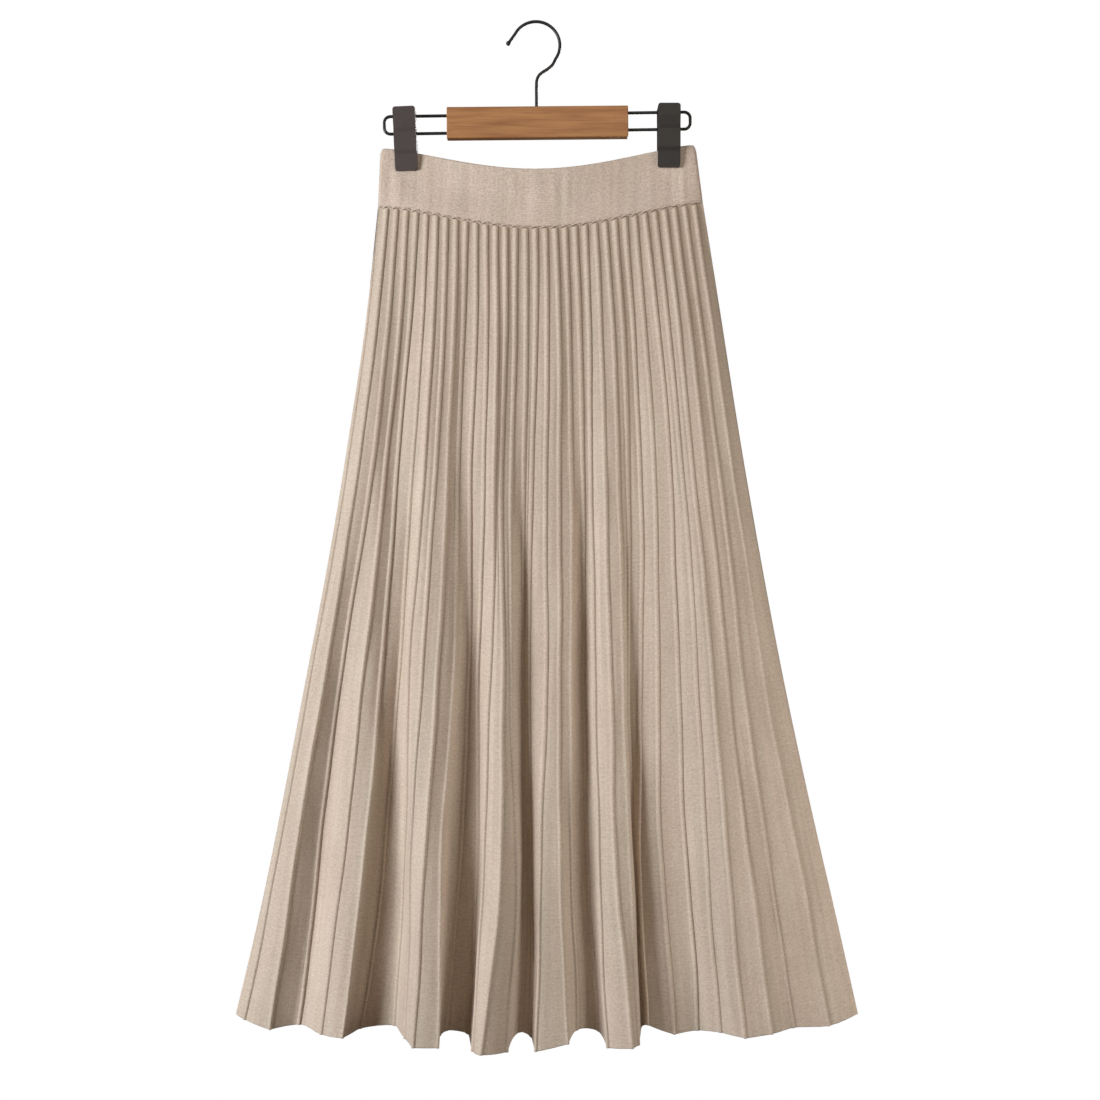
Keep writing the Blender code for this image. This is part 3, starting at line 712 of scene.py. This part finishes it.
def sheet_mesh(name, outer, inner, painted_groove_shade, across, down, side):
    """A closed thin shell: an outer grid, an inner grid, and four strips round the edges.

    across has a value for each face column's left and right corner, so that the stitches
    count from the nearest rib; down is the length along each column.
    """
    rows, columns = outer.shape[:2]
    r, c = np.meshgrid(np.arange(rows - 1), np.arange(columns - 1), indexing="ij")
    r, c = r.ravel(), c.ravel()

    def quads(layers, row_steps, column_steps, at_row, at_column, face_column):
        layer = np.array(layers)[None, :] + 0 * at_row[:, None]
        row = at_row[:, None] + np.array(row_steps)
        column = at_column[:, None] + np.array(column_steps)
        return layer, row, column, face_column[:, None] + 0 * row

    top, left_side = np.arange(columns - 1), np.arange(rows - 1)
    first, last_row, last_column = 0 * top, 0 * top + rows - 1, 0 * left_side + columns - 1
    parts = [
        quads((0, 0, 0, 0), (0, 1, 1, 0), (0, 0, 1, 1), r, c, c),
        quads((1, 1, 1, 1), (0, 0, 1, 1), (0, 1, 1, 0), r, c, c),
        quads((0, 0, 1, 1), (0, 0, 0, 0), (0, 1, 1, 0), first, top, top),
        quads((0, 1, 1, 0), (0, 0, 0, 0), (0, 0, 1, 1), last_row, top, top),
        quads((0, 1, 1, 0), (0, 0, 1, 1), (0, 0, 0, 0), left_side, 0 * left_side, 0 * left_side),
        quads((0, 0, 1, 1), (0, 1, 1, 0), (0, 0, 0, 0), left_side, last_column, last_column - 1),
    ]
    layer, row, column, face_column = (np.concatenate([p[k] for p in parts]) for k in range(4))
    corner = layer * rows * columns + row * columns + column
    step = np.clip(column - face_column, 0, 1)
    u = across[step, row, face_column]
    v = down[row, column]
    if side > 0:
        corner, u, v = corner[:, ::-1], u[:, ::-1], v[:, ::-1]
    points = np.concatenate([outer.reshape(-1, 3), inner.reshape(-1, 3)])
    mesh = quad_mesh(name, points, corner, u, v)
    # The groove attribute is painted shade in the knit's colour; the inner wall gets a smaller share of it
    shade = mesh.attributes.new("painted_groove_shade", "FLOAT", "POINT")
    shades = np.concatenate([painted_groove_shade.ravel(), INNER_SHADE * painted_groove_shade.ravel()])
    shade.data.foreach_set("value", shades.astype(np.float32))
    mesh.polygons.foreach_set("use_smooth", np.arange(len(corner)) < 2 * len(r))
    mesh.validate()
    return mesh


def cloth_lengths(outer, owner):
    """Lengths in metres for the UV map: across from each column's own rib, and down.

    Each rib starts one step further on in the pattern, so that no two look alike.
    """
    steps = np.linalg.norm(np.diff(outer, axis=1), axis=-1)
    arc = np.hstack([np.zeros((len(outer), 1)), np.cumsum(steps, axis=1)])
    crease_arc = arc[:, :: (outer.shape[1] - 1) // (len(FRONT_RIBS) + 1)]
    base = crease_arc[:, owner]
    offset = PATTERN_STEP * owner
    across = np.stack([(arc[:, :-1] - base) * MM + offset, (arc[:, 1:] - base) * MM + offset])
    fall = np.linalg.norm(np.diff(outer, axis=0), axis=-1)
    down = np.vstack([np.zeros((1, outer.shape[1])), np.cumsum(fall, axis=0)]) * MM
    return across, down


def place_piece(name, mesh, material):
    """Put a finished mesh in the scene, on the one body, with its finish."""
    mesh.materials.append(material)
    piece = bpy.data.objects.new(name, mesh)
    bpy.context.scene.collection.objects.link(piece)
    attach(piece, "root")
    return piece


rib_knit = knit_material("rib_knit", 0.30, 0.6, KNIT_BEIGE)
GORES = (
    # name, solid, ribs, side, seed, soft creases, cut width at the hem and length, cut area
    ("front_gore", "skirt_front", FRONT_RIBS, -1, 11, FRONT_SOFT_CREASES, (0.92, 0.83), 0.475),
    ("back_gore", "skirt_back", all_back_ribs(), 1, 23, BACK_SOFT_CREASES, (0.85, 0.83), 0.465),
)
for gore_name, solid_name, ribs, side, seed, creases, cut, cut_area in GORES:
    outer, inner, painted_groove_shade, owner = gore_surface(ribs, side, seed, creases)
    across, down = cloth_lengths(outer, owner)
    gore_mesh = sheet_mesh(gore_name, outer, inner, painted_groove_shade, across, down, side)
    gore = place_piece(gore_name, gore_mesh, rib_knit)
    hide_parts(solid_name)


# The waistband: a strip of the same knit, plain, folded double over a soft elastic. It is a
# closed tube, pinched flat at its two ends by the clips, and it sags between them.
BAND_BEIGE = (0.91, 0.775, 0.68, 1)
BAND_TOP_LEFT = (-155.5, -125.5)
BAND_TOP_RIGHT = (159.5, -122.0)
BAND_WALL = 2.0
BAND_FOLD_RADIUS = 1.0
BAND_CORNER_RADIUS = 3.6
BAND_ACROSS = 150
BAND_LEVELS = 22
BAND_INNER_LEVELS = 12
BAND_TOP_SHARE = 0.03
BAND_FOLD_TURNS = (150, 120, 90, 60, 30)
END_CROWDING = 0.35
END_SQUARENESS = 40
CORNER_SHARE = 0.12
LEAST_DEPTH = 0.35
PINCH_DEPTH = 2.6
PINCH_SHARE = 0.42
MOUTH_DEPTH = 9.0
MOUTH_FROM = 0.12
MOUTH_WIDTH = 0.76
MOUTH_SHAPE = 1.3
OFF_THE_GORE = 0.9
PUCKER_CLEAR = 6.0
BACK_PUCKERS = 0.7

# Soft puckers in the band's face; the shares are of its height, from the top
BAND_PUCKERS = (
    # x, from_share, to_share, half_width, depth
    (-146, 0.20, 1.10, 5.0, -0.8),
    (-136, 0.30, 1.10, 4.0, 0.6),
    (-112, 0.05, 0.70, 6.0, 0.5),
    (-60, 0.30, 1.10, 9.0, -0.5),
    (-22, 0.05, 0.65, 3.0, 0.5),
    (-10, 0.10, 0.80, 3.5, -0.4),
    (4, 0.05, 0.70, 3.0, 0.5),
    (19, 0.05, 0.80, 3.5, 0.7),
    (31, 0.10, 0.75, 3.0, 0.6),
    (52, 0.25, 0.95, 5.0, -0.4),
    (72, 0.15, 0.85, 5.5, 0.5),
    (104, 0.20, 1.10, 7.0, -0.5),
    (136, 0.30, 1.10, 4.0, -0.7),
    (147, 0.25, 1.10, 3.5, 1.0),
)


def band_depth(u, k):
    """Depth of the band's face: at the mouth a sine bulge between the two pinched ends, and
    at the seam the gore's lens and a little more. The two meet by a smooth step downward.
    """
    between = np.clip((u - MOUTH_FROM) / MOUTH_WIDTH, 0, 1)
    mouth = PINCH_DEPTH + MOUTH_DEPTH * np.sin(math.pi * between) ** MOUTH_SHAPE
    round_end = np.minimum(1, np.sqrt(np.clip(1 - np.abs(2 * u - 1) ** END_SQUARENESS, 0, 1)))
    seam = SEAM_DEPTH * bow_share(u) + OFF_THE_GORE * round_end
    blend = smooth_step((k - PINCH_SHARE) / (1 - PINCH_SHARE))
    return mouth * round_end * (1 - blend) + seam * blend


def band_level(k, inset, lift):
    """One closed ring of the band at share k of its height, inset from its face.

    Its points crowd at the ends, its upper corners are rounded, and each pucker is a bell
    across it that fades up and down.
    """
    t = np.linspace(0, 1, BAND_ACROSS + 1)
    u = END_CROWDING * (0.5 - 0.5 * np.cos(math.pi * t)) + (1 - END_CROWDING) * t
    top_x, top_z = sagging_line(BAND_TOP_LEFT, BAND_TOP_RIGHT, u)
    low_x, low_z = sagging_line(SEAM_LEFT, SEAM_RIGHT, u)
    x = top_x + (low_x - top_x) * k
    z = top_z + (low_z + SEAM_GAP - top_z) * k + lift
    middle, half = (x[0] + x[-1]) / 2, (x[-1] - x[0]) / 2
    from_end = half - np.abs(x - middle)
    short = np.clip(BAND_CORNER_RADIUS - from_end, 0, BAND_CORNER_RADIUS)
    rounded = BAND_CORNER_RADIUS - np.sqrt(BAND_CORNER_RADIUS ** 2 - short ** 2)
    z = z - rounded * np.clip(1 - k / CORNER_SHARE, 0, 1)
    x = middle + (x - middle) * (half - inset) / half
    depth = np.maximum(band_depth(u, k) - inset, 0)
    depth[1:-1] = np.maximum(depth[1:-1], LEAST_DEPTH)
    pucker = np.zeros_like(x)
    for place, from_share, to_share, half_width, height in BAND_PUCKERS:
        along = (k - from_share) / (to_share - from_share)
        fade = float(smooth_step(along * 3) * smooth_step((1 - along) * 3))
        pucker += height * fade * np.exp(-((x - place) / half_width) ** 2)
    pucker *= smooth_step(from_end / PUCKER_CLEAR)
    front = np.stack([x, -depth - pucker, z], axis=-1)
    back = np.stack([x, depth + BACK_PUCKERS * pucker[::-1], z], axis=-1)[-2:0:-1]
    return np.concatenate([front, back])


def ring_mesh(name, rings):
    """A closed tube of closed rings; the last ring joins the first."""
    count, around = rings.shape[:2]
    a, b = np.meshgrid(np.arange(count), np.arange(around), indexing="ij")
    a, b = a.ravel(), b.ravel()
    next_a, next_b = (a + 1) % count, (b + 1) % around
    corner = np.stack([
        a * around + b, next_a * around + b, next_a * around + next_b, a * around + next_b
    ], axis=1)
    round_steps = np.linalg.norm(np.diff(rings, axis=1, append=rings[:, :1]), axis=-1)
    arc = np.hstack([np.zeros((count, 1)), np.cumsum(round_steps, axis=1)])
    ring_steps = np.linalg.norm(np.diff(rings, axis=0, append=rings[:1]), axis=-1).mean(axis=1)
    along = np.concatenate([[0], np.cumsum(ring_steps)])
    u = np.stack([arc[a, b], arc[next_a, b], arc[next_a, b + 1], arc[a, b + 1]], axis=1) * MM
    v = np.stack([along[a], along[a + 1], along[a + 1], along[a]], axis=1) * MM
    mesh = quad_mesh(name, rings.reshape(-1, 3), corner, u, v)
    mesh.shade_smooth()
    mesh.validate()
    return mesh


outer_levels = np.linspace(BAND_TOP_SHARE, 1, BAND_LEVELS)
inner_levels = np.linspace(1, BAND_TOP_SHARE, BAND_INNER_LEVELS)
band_rings = [band_level(k, 0.0, 0.0) for k in outer_levels]
band_rings += [band_level(k, BAND_WALL, 0.0) for k in inner_levels]
for turn in np.radians(BAND_FOLD_TURNS):
    inset = BAND_FOLD_RADIUS * (1 - math.cos(turn))
    band_rings.append(band_level(0.0, inset, BAND_FOLD_RADIUS * (math.sin(turn) - 1)))
band_knit = knit_material("band_knit", 0.55, 0.15, BAND_BEIGE)
band_mesh = ring_mesh("waistband_knit", np.array(band_rings))
waistband_piece = place_piece("waistband_knit", band_mesh, band_knit)
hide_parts("waistband")


# The linking seam: the yarn that joins the band to the gores. It makes a small arch over
# the top of each rib and dips between two ribs.
LINK_RADIUS = 0.6
LINK_SIDES = 6
LINK_ARCH = 2.0
LINK_OFF_FACE = 0.4
LINK_PUFF = 0.7
LINK_DROP = 0.5
LINK_POINTS = 1400
LINK_BEIGE = (0.90, 0.79, 0.68, 1)


def tube_mesh(name, path, radius, sides, closed=False):
    """A round tube along a path: circles square to it, turned as little as possible."""
    path = np.asarray(path, float)
    ahead = np.roll(path, -1, axis=0) - np.roll(path, 1, axis=0)
    if not closed:
        ahead[0], ahead[-1] = path[1] - path[0], path[-1] - path[-2]
    ahead /= np.linalg.norm(ahead, axis=1, keepdims=True)
    sideways = np.cross(ahead, (0.0, 1.0, 0.0))
    sideways /= np.linalg.norm(sideways, axis=1, keepdims=True)
    upward = np.cross(sideways, ahead)
    radius = np.broadcast_to(np.asarray(radius, float), len(path))
    angles = np.linspace(0, 2 * math.pi, sides, endpoint=False)
    circle = (
        np.cos(angles)[None, :, None] * sideways[:, None] + np.sin(angles)[None, :, None] * upward[:, None]
    )
    rings = path[:, None] + circle * radius[:, None, None]
    count = len(path)
    spans = count if closed else count - 1
    a, b = np.meshgrid(np.arange(spans), np.arange(sides), indexing="ij")
    a, b = a.ravel(), b.ravel()
    next_a, next_b = (a + 1) % count, (b + 1) % sides
    faces = np.stack([
        a * sides + b, a * sides + next_b, next_a * sides + next_b, next_a * sides + b
    ], axis=1).tolist()
    if not closed:
        faces.append(list(range(sides))[::-1])
        faces.append(list(range((count - 1) * sides, count * sides)))
    mesh = bpy.data.meshes.new(name)
    mesh.from_pydata((rings.reshape(-1, 3) * MM).tolist(), [], faces)
    mesh.update()
    mesh.shade_smooth()
    return mesh


def linking_path():
    """Along the front seam and back along the rear one, arching by 0.5 + 0.5 cos(2 pi rib)."""
    halves = []
    for side in (-1, 1):
        u = np.linspace(0.004, 0.996, LINK_POINTS)
        tops = rib_tops(len(FRONT_RIBS))
        rib = np.interp(u, tops, np.arange(len(tops)))
        arch = 0.5 + 0.5 * np.cos(2 * math.pi * rib)
        x, z = sagging_line(SEAM_LEFT, SEAM_RIGHT, u)
        y = side * (band_depth(u, 1.0) + LINK_OFF_FACE + LINK_PUFF * arch)
        halves.append(np.stack([x, y, z + LINK_ARCH * arch - LINK_DROP], axis=-1))
    return np.concatenate([halves[0], halves[1][::-1]])


def yarn_material():
    """Matt beige yarn, a little lighter than the knit."""
    made, tree, shader = new_material("link_yarn")
    place = node(tree, "ShaderNodeTexCoord", "place")
    speckle = noise_on(tree, "speckle", place.outputs["Object"], 700)
    colour = mixed_colour(tree, "yarn_colour", speckle, KNIT_SHADED, LINK_BEIGE)
    tree.links.new(colour, shader.inputs["Base Color"])
    shader.inputs["Roughness"].default_value = 0.9
    shader.inputs["Specular IOR Level"].default_value = 0.2
    return made


link_mesh = tube_mesh("linking_seam", linking_path(), LINK_RADIUS, LINK_SIDES, closed=True)
linking_seam = place_piece("linking_seam", link_mesh, yarn_material())


# The wire parts of the hanger: 3.1 mm steel wire, bent to the hook and to the two looped
# arms, and dipped in black satin paint. Their ends are glued into the wooden bar.
WIRE_RADIUS = 1.55
WIRE_SIDES = 16
HOOK_CENTRE = (0.0, -22.3)
HOOK_RADIUS = 23.85
HOOK_ARC = (-35, 152)
HOOK_NECK = (
    (0.5, -96.0),
    (0.5, -76.0),
    (0.5, -62.5),
    (0.9, -57.0),
    (2.8, -52.6),
    (6.5, -49.2),
    (12.0, -45.6),
    (16.6, -41.5),
)
HOOK_TIP = (-27.6, -20.2)
TIP_RADIUS = 2.4
BAR_LENGTH = 181.0
BAR_MIDDLE_X = 1.5
BORE_DEPTH = 14.0
BORE_SPARE = 2
ARM_TILT = 0.85
ARM_CORNER = 6.0
PAINT_BLACKS = ((0.010, 0.010, 0.011, 1), (0.028, 0.027, 0.027, 1))
ARMS = (
    # name, side, outer end x, upper wire z and lower wire z where it leaves the bar
    ("left", -1, -151.6, -92.6, -110.1),
    ("right", 1, 154.2, -89.8, -106.8),
)


def wire_material():
    """Black satin paint on steel, with a faint unevenness."""
    made, tree, shader = new_material("black_wire")
    place = node(tree, "ShaderNodeTexCoord", "place")
    blotch = noise_on(tree, "paint", place.outputs["Object"], 160)
    colour = mixed_colour(tree, "paint_colour", blotch, *PAINT_BLACKS)
    tree.links.new(colour, shader.inputs["Base Color"])
    shader.inputs["Roughness"].default_value = 0.38
    return made


def hook_path():
    """The neck's points and the crown's arc, joined by one smooth curve."""
    angles = np.radians(np.linspace(HOOK_ARC[0], HOOK_ARC[1], 17))
    crown = np.stack([
        HOOK_CENTRE[0] + HOOK_RADIUS * np.cos(angles), HOOK_CENTRE[1] + HOOK_RADIUS * np.sin(angles)
    ], axis=1)
    knots = np.concatenate([HOOK_NECK, crown, [HOOK_TIP]])
    reach = np.concatenate([[0], np.cumsum(np.linalg.norm(np.diff(knots, axis=0), axis=1))])
    fine = curve_through(reach, knots, np.linspace(0, reach[-1], 150))
    return np.stack([fine[:, 0], 0 * fine[:, 0], fine[:, 1]], axis=1)


def ball_mesh(name, centre, radius):
    """A small round ball: circles of radius r cos(latitude) between two poles."""
    latitude = np.radians(np.linspace(-86, 86, 12))
    path = np.stack([centre[0] + 0 * latitude, 0 * latitude, centre[1] + radius * np.sin(latitude)], axis=1)
    return tube_mesh(name, path, radius * np.cos(latitude), 18)


def joined(name, meshes):
    """Several meshes as one."""
    points, faces, base = [], [], 0
    for mesh in meshes:
        points += [tuple(v.co) for v in mesh.vertices]
        faces += [[base + v for v in p.vertices] for p in mesh.polygons]
        base = len(points)
    made = bpy.data.meshes.new(name)
    made.from_pydata(points, [], faces)
    made.update()
    made.shade_smooth()
    return made


def arm_path(side, outer, upper, lower):
    """From the upper end in the bar, round the outer end in two quarter bends, and back."""
    inner = BAR_MIDDLE_X + side * (BAR_LENGTH / 2 - BORE_DEPTH + BORE_SPARE)
    half = abs(outer - inner) - ARM_CORNER
    height, middle = upper - lower, (upper + lower) / 2
    run_out = np.linspace(0, half, 12)[:-1]
    bend_up = np.radians(np.linspace(90, 0, 9))
    bend_down = np.radians(np.linspace(0, -90, 9))
    x = np.concatenate([
        run_out, half + ARM_CORNER * np.cos(bend_up), half + ARM_CORNER * np.cos(bend_down), run_out[::-1]
    ])
    z = np.concatenate([
        0 * run_out + height / 2,
        height / 2 - ARM_CORNER + ARM_CORNER * np.sin(bend_up),
        -height / 2 + ARM_CORNER + ARM_CORNER * np.sin(bend_down),
        0 * run_out - height / 2,
    ])
    root = BAR_MIDDLE_X + side * BAR_LENGTH / 2
    angle = math.radians(ARM_TILT)
    dx = inner + side * x - root
    turned_x = root + dx * math.cos(angle) - z * math.sin(angle)
    turned_z = middle + dx * math.sin(angle) + z * math.cos(angle)
    return np.stack([turned_x, 0 * x, turned_z], axis=1)


black_wire = wire_material()
hook_tube = tube_mesh("hook_tube", hook_path(), WIRE_RADIUS, WIRE_SIDES)
hook_ball = ball_mesh("hook_ball", HOOK_TIP, TIP_RADIUS)
hook_piece = place_piece("hook_wire", joined("hook_wire", (hook_tube, hook_ball)), black_wire)
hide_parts("hook")
for arm_name, side, outer_x, upper, lower in ARMS:
    name = "arm_wire_" + arm_name
    arm_tube = tube_mesh(name, arm_path(side, outer_x, upper, lower), WIRE_RADIUS, WIRE_SIDES)
    arm = place_piece(name, arm_tube, black_wire)
    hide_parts("wire_loop_" + arm_name)


# The bar: one stick of warm brown hardwood with a straight grain along it, oiled to a low
# satin, with its edges just broken.
WOOD_DARK = (0.35, 0.145, 0.050, 1)
WOOD_LIGHT = (0.53, 0.255, 0.098, 1)
PORE_BROWN = (0.20, 0.075, 0.03, 1)


def wood_material():
    """Grain as noise stretched along the bar, with fine pores, from two browns."""
    made, tree, shader = new_material("oiled_wood")
    place = node(tree, "ShaderNodeTexCoord", "place")
    grain = noise_on(tree, "grain", place.outputs["Object"], 26, (0.55, 6, 6), detail=5.0)
    pores = noise_on(tree, "pores", place.outputs["Object"], 150, (0.12, 5, 5), detail=3.0)
    wood = tone_ramp(tree, "wood_tones", grain, WOOD_DARK, WOOD_LIGHT, 0.32, 0.68)
    deep = math_node(tree, "deep", "GREATER_THAN", pores, 0.60)
    dark_pores = math_node(tree, "dark_pores", "MULTIPLY", deep, 0.35)
    colour = mixed_colour(tree, "pore_colour", dark_pores, wood, PORE_BROWN)
    tree.links.new(colour, shader.inputs["Base Color"])
    add_bump(tree, shader, "pore_bump", pores, 0.3, 0.2 * MM)
    shader.inputs["Roughness"].default_value = 0.5
    return made


def set_material(node_name, material):
    """Give a CAD node's object one finish."""
    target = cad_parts[node_name]
    if not target.material_slots:
        target.data.materials.append(material)
    for slot in target.material_slots:
        slot.material = material


set_material("wood_bar", wood_material())


# The clips: two moulded jaws each, of dark satin plastic, browner on the left clip. They
# rock on each other between the arm's two wires and hold the band by their lower ends.
CLIP_FINISHES = (
    ("clip_left", (0.064, 0.050, 0.049, 1)),
    ("clip_right", (0.027, 0.0245, 0.023, 1)),
)
HANDLED_LIGHTER = 1.25


def clip_material(name, colour):
    """Moulded plastic with a very fine spark-eroded grain."""
    made, tree, shader = new_material(name)
    place = node(tree, "ShaderNodeTexCoord", "place")
    grain = noise_on(tree, "moulded_grain", place.outputs["Object"], 1500)
    cloud = noise_on(tree, "handling", place.outputs["Object"], 70)
    lighter = tuple(min(1, c * HANDLED_LIGHTER) for c in colour[:3]) + (1,)
    mixed = mixed_colour(tree, "plastic_colour", cloud, colour, lighter)
    tree.links.new(mixed, shader.inputs["Base Color"])
    add_bump(tree, shader, "grain_bump", grain, 0.25, 0.05 * MM)
    shader.inputs["Roughness"].default_value = 0.5
    return made


for clip_name, clip_colour in CLIP_FINISHES:
    plastic = clip_material(clip_name + "_plastic", clip_colour)
    for face in ("front", "back"):
        set_material(clip_name + "_" + face, plastic)


# The studio: white all round, with no floor in sight. A large soft light stands far to the
# left; a weak warm one is in front, one at the right, and a large one is behind.
PHOTO_DISTANCE = 1.5
PHOTO_CENTRE = (0.014, -0.5268)
PHOTO_SPAN = 1.1
SENSOR = 36.0
AMBIENT = 0.03
AMBIENT_TINT = (1.0, 0.63, 0.39, 1)
LIGHTS = (
    # name, place, aim, size in metres, power in watts, colour
    ("key", (-2.3, -1.5, -0.22), (0.0, 0.0, -0.65), 1.2, 76.5, (0.98, 1.0, 1.035)),
    ("front", (0.15, -1.15, 0.15), (0.03, 0.0, -0.52), 0.6, 2.4, (1.0, 0.87, 0.73)),
    ("fill", (0.95, -0.45, -0.70), (0.22, 0.0, -0.76), 0.5, 4.8, (1.0, 0.96, 0.91)),
    ("rear", (0.9, 2.4, 0.1), (0.0, 0.0, -0.5), 1.4, 62, (1.0, 1.0, 1.0)),
)

world = bpy.data.worlds.new("studio_white")
world.use_nodes = True
bpy.context.scene.world = world
sky = world.node_tree
seen = node(sky, "ShaderNodeLightPath", "seen_directly")
level = math_node(sky, "level", "MULTIPLY_ADD", seen.outputs["Is Camera Ray"], 1 - AMBIENT)
sky.nodes["level"].inputs[2].default_value = AMBIENT
tint = mixed_colour(sky, "tint", seen.outputs["Is Camera Ray"], AMBIENT_TINT, (1, 1, 1, 1))
sky.links.new(tint, sky.nodes["Background"].inputs["Color"])
sky.links.new(level, sky.nodes["Background"].inputs["Strength"])

for light_name, at, aim, size, power, colour in LIGHTS:
    lamp_data = bpy.data.lights.new(light_name, "AREA")
    lamp_data.shape = "DISK"
    lamp_data.size = size
    lamp_data.energy = power
    lamp_data.color = colour
    lamp = bpy.data.objects.new(light_name, lamp_data)
    lamp.location = at
    toward = np.array(aim) - np.array(at)
    flat = math.hypot(toward[0], toward[1])
    lamp.rotation_euler = (math.atan2(flat, -toward[2]), 0, math.atan2(-toward[0], toward[1]))
    lamp.visible_camera = False
    bpy.context.scene.collection.objects.link(lamp)

camera_data = bpy.data.cameras.new("photo_camera")
camera_data.sensor_width = SENSOR
camera_data.lens = SENSOR * PHOTO_DISTANCE / PHOTO_SPAN
camera_data.clip_end = 50
camera = bpy.data.objects.new("photo_camera", camera_data)
camera.location = (PHOTO_CENTRE[0], -PHOTO_DISTANCE, PHOTO_CENTRE[1])
camera.rotation_euler = (math.pi / 2, 0, 0)
bpy.context.scene.collection.objects.link(camera)
bpy.context.scene.camera = camera
bpy.context.scene.view_settings.view_transform = "Standard"
